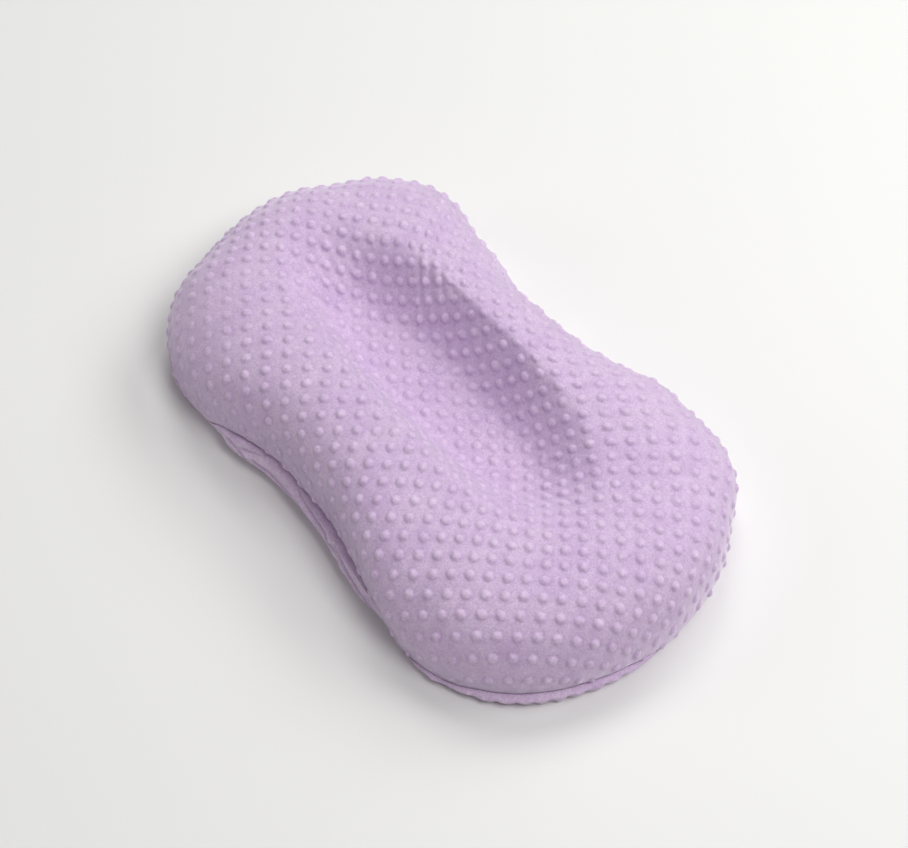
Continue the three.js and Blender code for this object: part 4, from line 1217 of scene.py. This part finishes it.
def casing_under(depth, over_ground, over_zip):
    lp, ln, uu, folded, _ = drape_under(cb_flat, False, np.ones(len(cb_flat)), np.ones(len(cb_flat)) * 9)
    f = DOWN.at(cb_flat)[2]
    flat_part = smooth((f[:, 3] - 0.75) / 0.4)
    q = lp - ln * ((depth + 2.6 * folded) * (1 - flat_part))[:, None]
    ground_z = over_ground + (over_zip - over_ground) * ridge(q[:, 0], q[:, 1])
    q[:, 2] = q[:, 2] * (1 - flat_part) + ground_z * flat_part
    return q


outer = casing_under(2.6, 4.3, 12.1)
inner = casing_under(3.4, 5.1, 12.9)
k = len(cas_u)
outer[:k, :2] = seam(cas_u) + inward(cas_u) * (crease(cas_u) + 4.4)[:, None]
outer[:k, 2] = seam_z(cas_u) + seam_wave(cas_u) - droop(cas_u) - 0.35
inner[:k] = outer[:k]
inner[:k, :2] += inward(cas_u) * 0.8
verts, tri = two_faced(outer, cb_tri, inner, cb_tri, k)
casing_bottom = new_mesh("casing_cloth_bottom", verts, tri)
dress(casing_bottom, CASING, ["casing_bottom_panel"])

n_st = int(round(AROUND / 4.0)) * 4
su = np.arange(n_st) / n_st
zig = np.tile([0.0, 1.0, 0.0, -1.0], n_st // 4)
loop_in = crease(su) + 4.1 + 0.5 * np.tile([-1.0, 0.0, 1.0, 0.0], n_st // 4)
path = np.column_stack([seam(su) + inward(su) * loop_in[:, None], seam_z(su) + 0.15 + seam_wave(su) - droop(su) + 0.35 * zig])
cas_seam = new_mesh("casing_overlock_thread", *tube(path, 0.22, 5, True))
dress(cas_seam, CASING_THREAD, ["casing_seam_overlock"])

# upright wall between the ring and the pad
n_w, rows = 420, 9
wu = np.arange(n_w) / n_w
P = seam(wu)
C, F = oval(CREST, P), oval(FLOOR, P)
mid = C + (F - C) * 0.86
tm = np.roll(mid, -1, 0) - np.roll(mid, 1, 0)
tm /= np.linalg.norm(tm, axis=1, keepdims=True)
mn = np.stack([-tm[:, 1], tm[:, 0]], 1)
mn *= np.sign((mn * mid).sum(1))[:, None]
z_low = 5.3 + 7.9 * ridge(mid[:, 0], mid[:, 1])
z_top = form(wu, np.full(n_w, 1.86))[:, 2] - 5.6
rings = []
for off in (0.4, -0.4):
    for r in range(rows):
        f = r / (rows - 1)
        z = z_low + (z_top - z_low) * f
        pleat = 0.35 * np.sin(wu * 2 * np.pi * 38 + 2 * ring_noise(wu, 17, 71)) * math.sin(math.pi * f)
        xy = mid + mn * (off + pleat)[:, None]
        rings.append(np.column_stack([xy, z]))
order = list(range(rows)) + list(range(2 * rows - 1, rows - 1, -1))
V = np.vstack([rings[o] for o in order])
nr = len(order)
i, k = np.meshgrid(np.arange(nr), np.arange(n_w), indexing="ij")
i, k = i.ravel(), k.ravel()
j, m = (i + 1) % nr, (k + 1) % n_w
tri = np.vstack([np.stack([i * n_w + k, i * n_w + m, j * n_w + m], 1), np.stack([i * n_w + k, j * n_w + m, j * n_w + k], 1)])
baffle = new_mesh("baffle_cloth", V, orient(V, tri))
dress(baffle, CASING, ["recess_baffle"])

# the ring of filling: a section for each place round the seam
n_f = 300
fu = np.arange(n_f) / n_f


def off_surface(fun, u, v, depth, up):
    e = 1e-3
    p = fun(u, np.full(len(u), v))
    du = fun(u + e, np.full(len(u), v)) - fun(u - e, np.full(len(u), v))
    dv = fun(u, np.full(len(u), min(v + 4 * e, 2))) - fun(u, np.full(len(u), max(v - 4 * e, 0)))
    n = np.cross(du, dv)
    n /= np.maximum(np.linalg.norm(n, axis=1, keepdims=True), 1e-9)
    n *= np.where((n * up(p)).sum(1) < 0, -1, 1)[:, None]
    return p - n * np.broadcast_to(depth, (len(u),))[:, None]


out_dir = lambda p: np.column_stack([-inward(fu), np.full(len(p), 0.6)])
P = seam(fu)
C, F = oval(CREST, P), oval(FLOOR, P)
section = []
for v in np.linspace(0, 1, 18)[:-1]:
    arc = arc_at(fu, np.full(n_f, v))
    section.append(off_surface(form, fu, v, 6.4 + (crease(fu) + 1.5) * np.exp(-arc / 14), out_dir))
    section[-1][:, :2] += inward(fu) * settle(fu, np.full(n_f, v), arc)[:, None]
for v in np.linspace(1, 1.83, 14):
    section.append(off_surface(form, fu, v, 6.4, lambda p: np.tile([0, 0, 1.0], (len(p), 1))))
wall_out = C + (F - C) * 0.86
tm = np.roll(wall_out, -1, 0) - np.roll(wall_out, 1, 0)
tm /= np.linalg.norm(tm, axis=1, keepdims=True)
mn = np.stack([-tm[:, 1], tm[:, 0]], 1)
mn *= np.sign((mn * wall_out).sum(1))[:, None]
base_xy = wall_out + mn * 1.3
low = lambda q: 5.9 + 7.9 * ridge(q[:, 0], q[:, 1])
z1 = form(fu, np.full(n_f, 1.83))[:, 2] - 8
z0 = low(base_xy)
for f in np.linspace(0, 1, 9):
    section.append(np.column_stack([base_xy, z1 + (z0 - z1) * f]))
foot_in = seam(fu) + inward(fu) * (BOTTOM_TURN + 6.5 + np.maximum(along(fu, UNDER), 0))[:, None]
for f in np.linspace(0, 1, 12)[1:]:
    q = base_xy + (foot_in - base_xy) * f
    section.append(np.column_stack([q, low(q)]))
for a in (0.72, 0.5, 0.28, 0.1):
    q = wall(fu, np.full(n_f, a))
    q[:, :2] += inward(fu) * (6.0 + (crease(fu) + 1.5) * math.exp(-a * 3) + 1.0 + np.maximum(along(fu, UNDER), 0))[:, None]
    q[:, 2] = np.maximum(q[:, 2], low(q) + (seam_z(fu) - 6) * (0.9 - a))
    section.append(q)
S_ = np.stack(section)
m_s = len(section)
lump = 0.45 * (1 + noise3(S_.reshape(-1, 3), 19, 81)) + 0.25 * (1 + noise3(S_.reshape(-1, 3), 8, 82))
centre_line = S_.mean(0)
pull = centre_line[None] - S_
pull /= np.linalg.norm(pull, axis=2, keepdims=True)
S_ = S_ + pull * lump.reshape(m_s, n_f)[..., None]
V = S_.reshape(-1, 3)
i, k = np.meshgrid(np.arange(m_s), np.arange(n_f), indexing="ij")
i, k = i.ravel(), k.ravel()
j, m = (i + 1) % m_s, (k + 1) % n_f
tri = np.vstack([np.stack([i * n_f + k, i * n_f + m, j * n_f + m], 1), np.stack([i * n_f + k, j * n_f + m, j * n_f + k], 1)])
fill_ring = new_mesh("polyester_ring", V, orient(V, tri))
dress(fill_ring, FILL, ["fill_ring"])

# the thinner pad inside the wall
n_p = 160
pu = np.arange(n_p) / n_p
P = seam(pu)
C, F = oval(CREST, P), oval(FLOOR, P)
rows_p = []
top_s = np.linspace(0, 1, 17)[1:]
for s_ in top_s:
    t_ = 1 - max(0.0, (s_ - 0.88) / 0.12) * 0.12
    xy = (C + (F - C) * t_) if s_ >= 0.88 else F * (s_ / 0.88)
    if s_ >= 0.88:
        xy = C + (F - C) * t_
    z = form(pu, np.full(n_p, 1 + t_))[:, 2] - 6.4
    if s_ == 1:
        xy = xy * (1 - 1.2 / np.linalg.norm(xy, axis=1, keepdims=True))
        z = z - 0.8
    rows_p.append(np.column_stack([xy, z]))
edge_xy = rows_p[-1][:, :2]
ze, zb = rows_p[-1][:, 2], 5.9 + 7.9 * ridge(edge_xy[:, 0], edge_xy[:, 1])
for f in np.linspace(0, 1, 8)[1:]:
    rows_p.append(np.column_stack([edge_xy, ze + (zb - ze) * f]))
for s_ in top_s[::-1][1:]:
    xy = edge_xy * s_
    rows_p.append(np.column_stack([xy, 5.9 + 7.9 * ridge(xy[:, 0], xy[:, 1])]))
V = np.vstack(rows_p)
lump = 0.4 * (1 + noise3(V, 19, 83)) + 0.2 * (1 + noise3(V, 8, 84))
to_mid = np.array([[0, 0, 36.0]]) - V
to_mid /= np.linalg.norm(to_mid, axis=1, keepdims=True)
V = V + to_mid * lump[:, None]
nr = len(rows_p)
i, k = np.meshgrid(np.arange(nr - 1), np.arange(n_p), indexing="ij")
i, k = i.ravel(), k.ravel()
m = (k + 1) % n_p
tri = np.vstack([np.stack([i * n_p + k, i * n_p + m, (i + 1) * n_p + m], 1), np.stack([i * n_p + k, (i + 1) * n_p + m, (i + 1) * n_p + k], 1)])
nv = len(V)
V = np.vstack([V, [0, 0, V[:n_p, 2].mean()], [0, 0, V[(nr - 1) * n_p:nr * n_p, 2].mean()]])
k = np.arange(n_p)
tri = np.vstack([tri, np.stack([np.full(n_p, nv), (k + 1) % n_p, k], 1),
                 np.stack([np.full(n_p, nv + 1), (nr - 1) * n_p + k, (nr - 1) * n_p + (k + 1) % n_p], 1)])
centre_pad = new_mesh("polyester_pad", V, orient_local(V, tri))
dress(centre_pad, FILL, ["fill_centre_pad"])

# ------------------------------------------------------------------ the metal pieces keep their shape, with their edges broken
for n, ob in NODES.items():
    if ob.hide_render:
        continue
    ob.data.materials.clear()
    ob.data.materials.append(METAL)
    bev = ob.modifiers.new("edges", "BEVEL")
    bev.width = 0.00014
    bev.segments = 2
    bev.limit_method = "ANGLE"
    bev.angle_limit = math.radians(40)
    print("kept", n)

# ------------------------------------------------------------------ camera, floor and light
PHI, EL = math.radians(38.630), math.radians(53.648)
DIST = 2.300 * SCALE
d = Vector((math.sin(PHI) * math.cos(EL), math.cos(PHI) * math.cos(EL), -math.sin(EL)))
target = Vector((0, 0.01248, 0))
cam_data = bpy.data.cameras.new("camera")
cam = bpy.data.objects.new("camera", cam_data)
bpy.context.scene.collection.objects.link(cam)
cam.location = target - d * DIST
cam.rotation_mode = "QUATERNION"
cam.rotation_quaternion = d.to_track_quat("-Z", "Y")
cam_data.sensor_width = 36
cam_data.lens = 2493.3 / 908 * 36
cam_data.shift_x = 20.635 / 908
cam_data.shift_y = 10.371 / 908
cam_data.clip_start, cam_data.clip_end = 0.05, 60
bpy.context.scene.camera = cam

floor = new_mesh("floor", [[-12, -12, 0], [12, -12, 0], [12, 12, 0], [-12, 12, 0]], [], [[0, 1, 2, 3]], False, mm=False)
m, nt, bsdf = new_material("floor_paint")
tone = ramp(nt, noise_node(nt, object_coord(nt), 0.6, 2), [(0.3, (0.83, 0.83, 0.815, 1)), (0.7, (0.85, 0.85, 0.84, 1))])
nt.links.new(tone, bsdf.inputs["Base Color"])
bsdf.inputs["Roughness"].default_value = 0.7
bsdf.inputs["Specular IOR Level"].default_value = 0.1
floor.data.materials.append(m)
floor.location.z = -0.0002


def area_light(name, where, size, power, colour=(1, 1, 1)):
    ld = bpy.data.lights.new(name, "AREA")
    ld.shape = "DISK"
    ld.size = size
    ld.energy = power
    ld.color = colour
    lo = bpy.data.objects.new(name, ld)
    bpy.context.scene.collection.objects.link(lo)
    lo.location = where
    lo.rotation_mode = "QUATERNION"
    lo.rotation_quaternion = (Vector((0, 0, 0.05)) - Vector(where)).to_track_quat("-Z", "Y")
    return lo


right = Vector((math.cos(PHI), -math.sin(PHI), 0))
away = Vector((math.sin(PHI), math.cos(PHI), 0))
# a wide bank of soft light on the right, from behind to in front
for name, x, y, z, size, power in (("right", 2.1, 0, 2.2, 1.4, 20), ("right_back", 1.6, 1.6, 2.0, 1.4, 23), ("back", 0, 1.6, 2.8, 1.4, 28),
                                   ("right_front", 1.0, -1.2, 2.8, 1.4, 37), ("left", -2.4, 0, 1.3, 1.4, 9.6), ("low_back", 1.8, 1.8, 0.7, 1.0, 4)):
    area_light(name, tuple(right * x + away * y + Vector((0, 0, z))), size, power, (1.0, 0.998, 0.992))
world = bpy.data.worlds.new("studio")
bpy.context.scene.world = world
world.use_nodes = True
bg = world.node_tree.nodes["Background"]
bg.inputs["Color"].default_value = (1.0, 0.995, 0.985, 1)
bg.inputs["Strength"].default_value = 0.12
bpy.context.scene.view_settings.view_transform = "Standard"
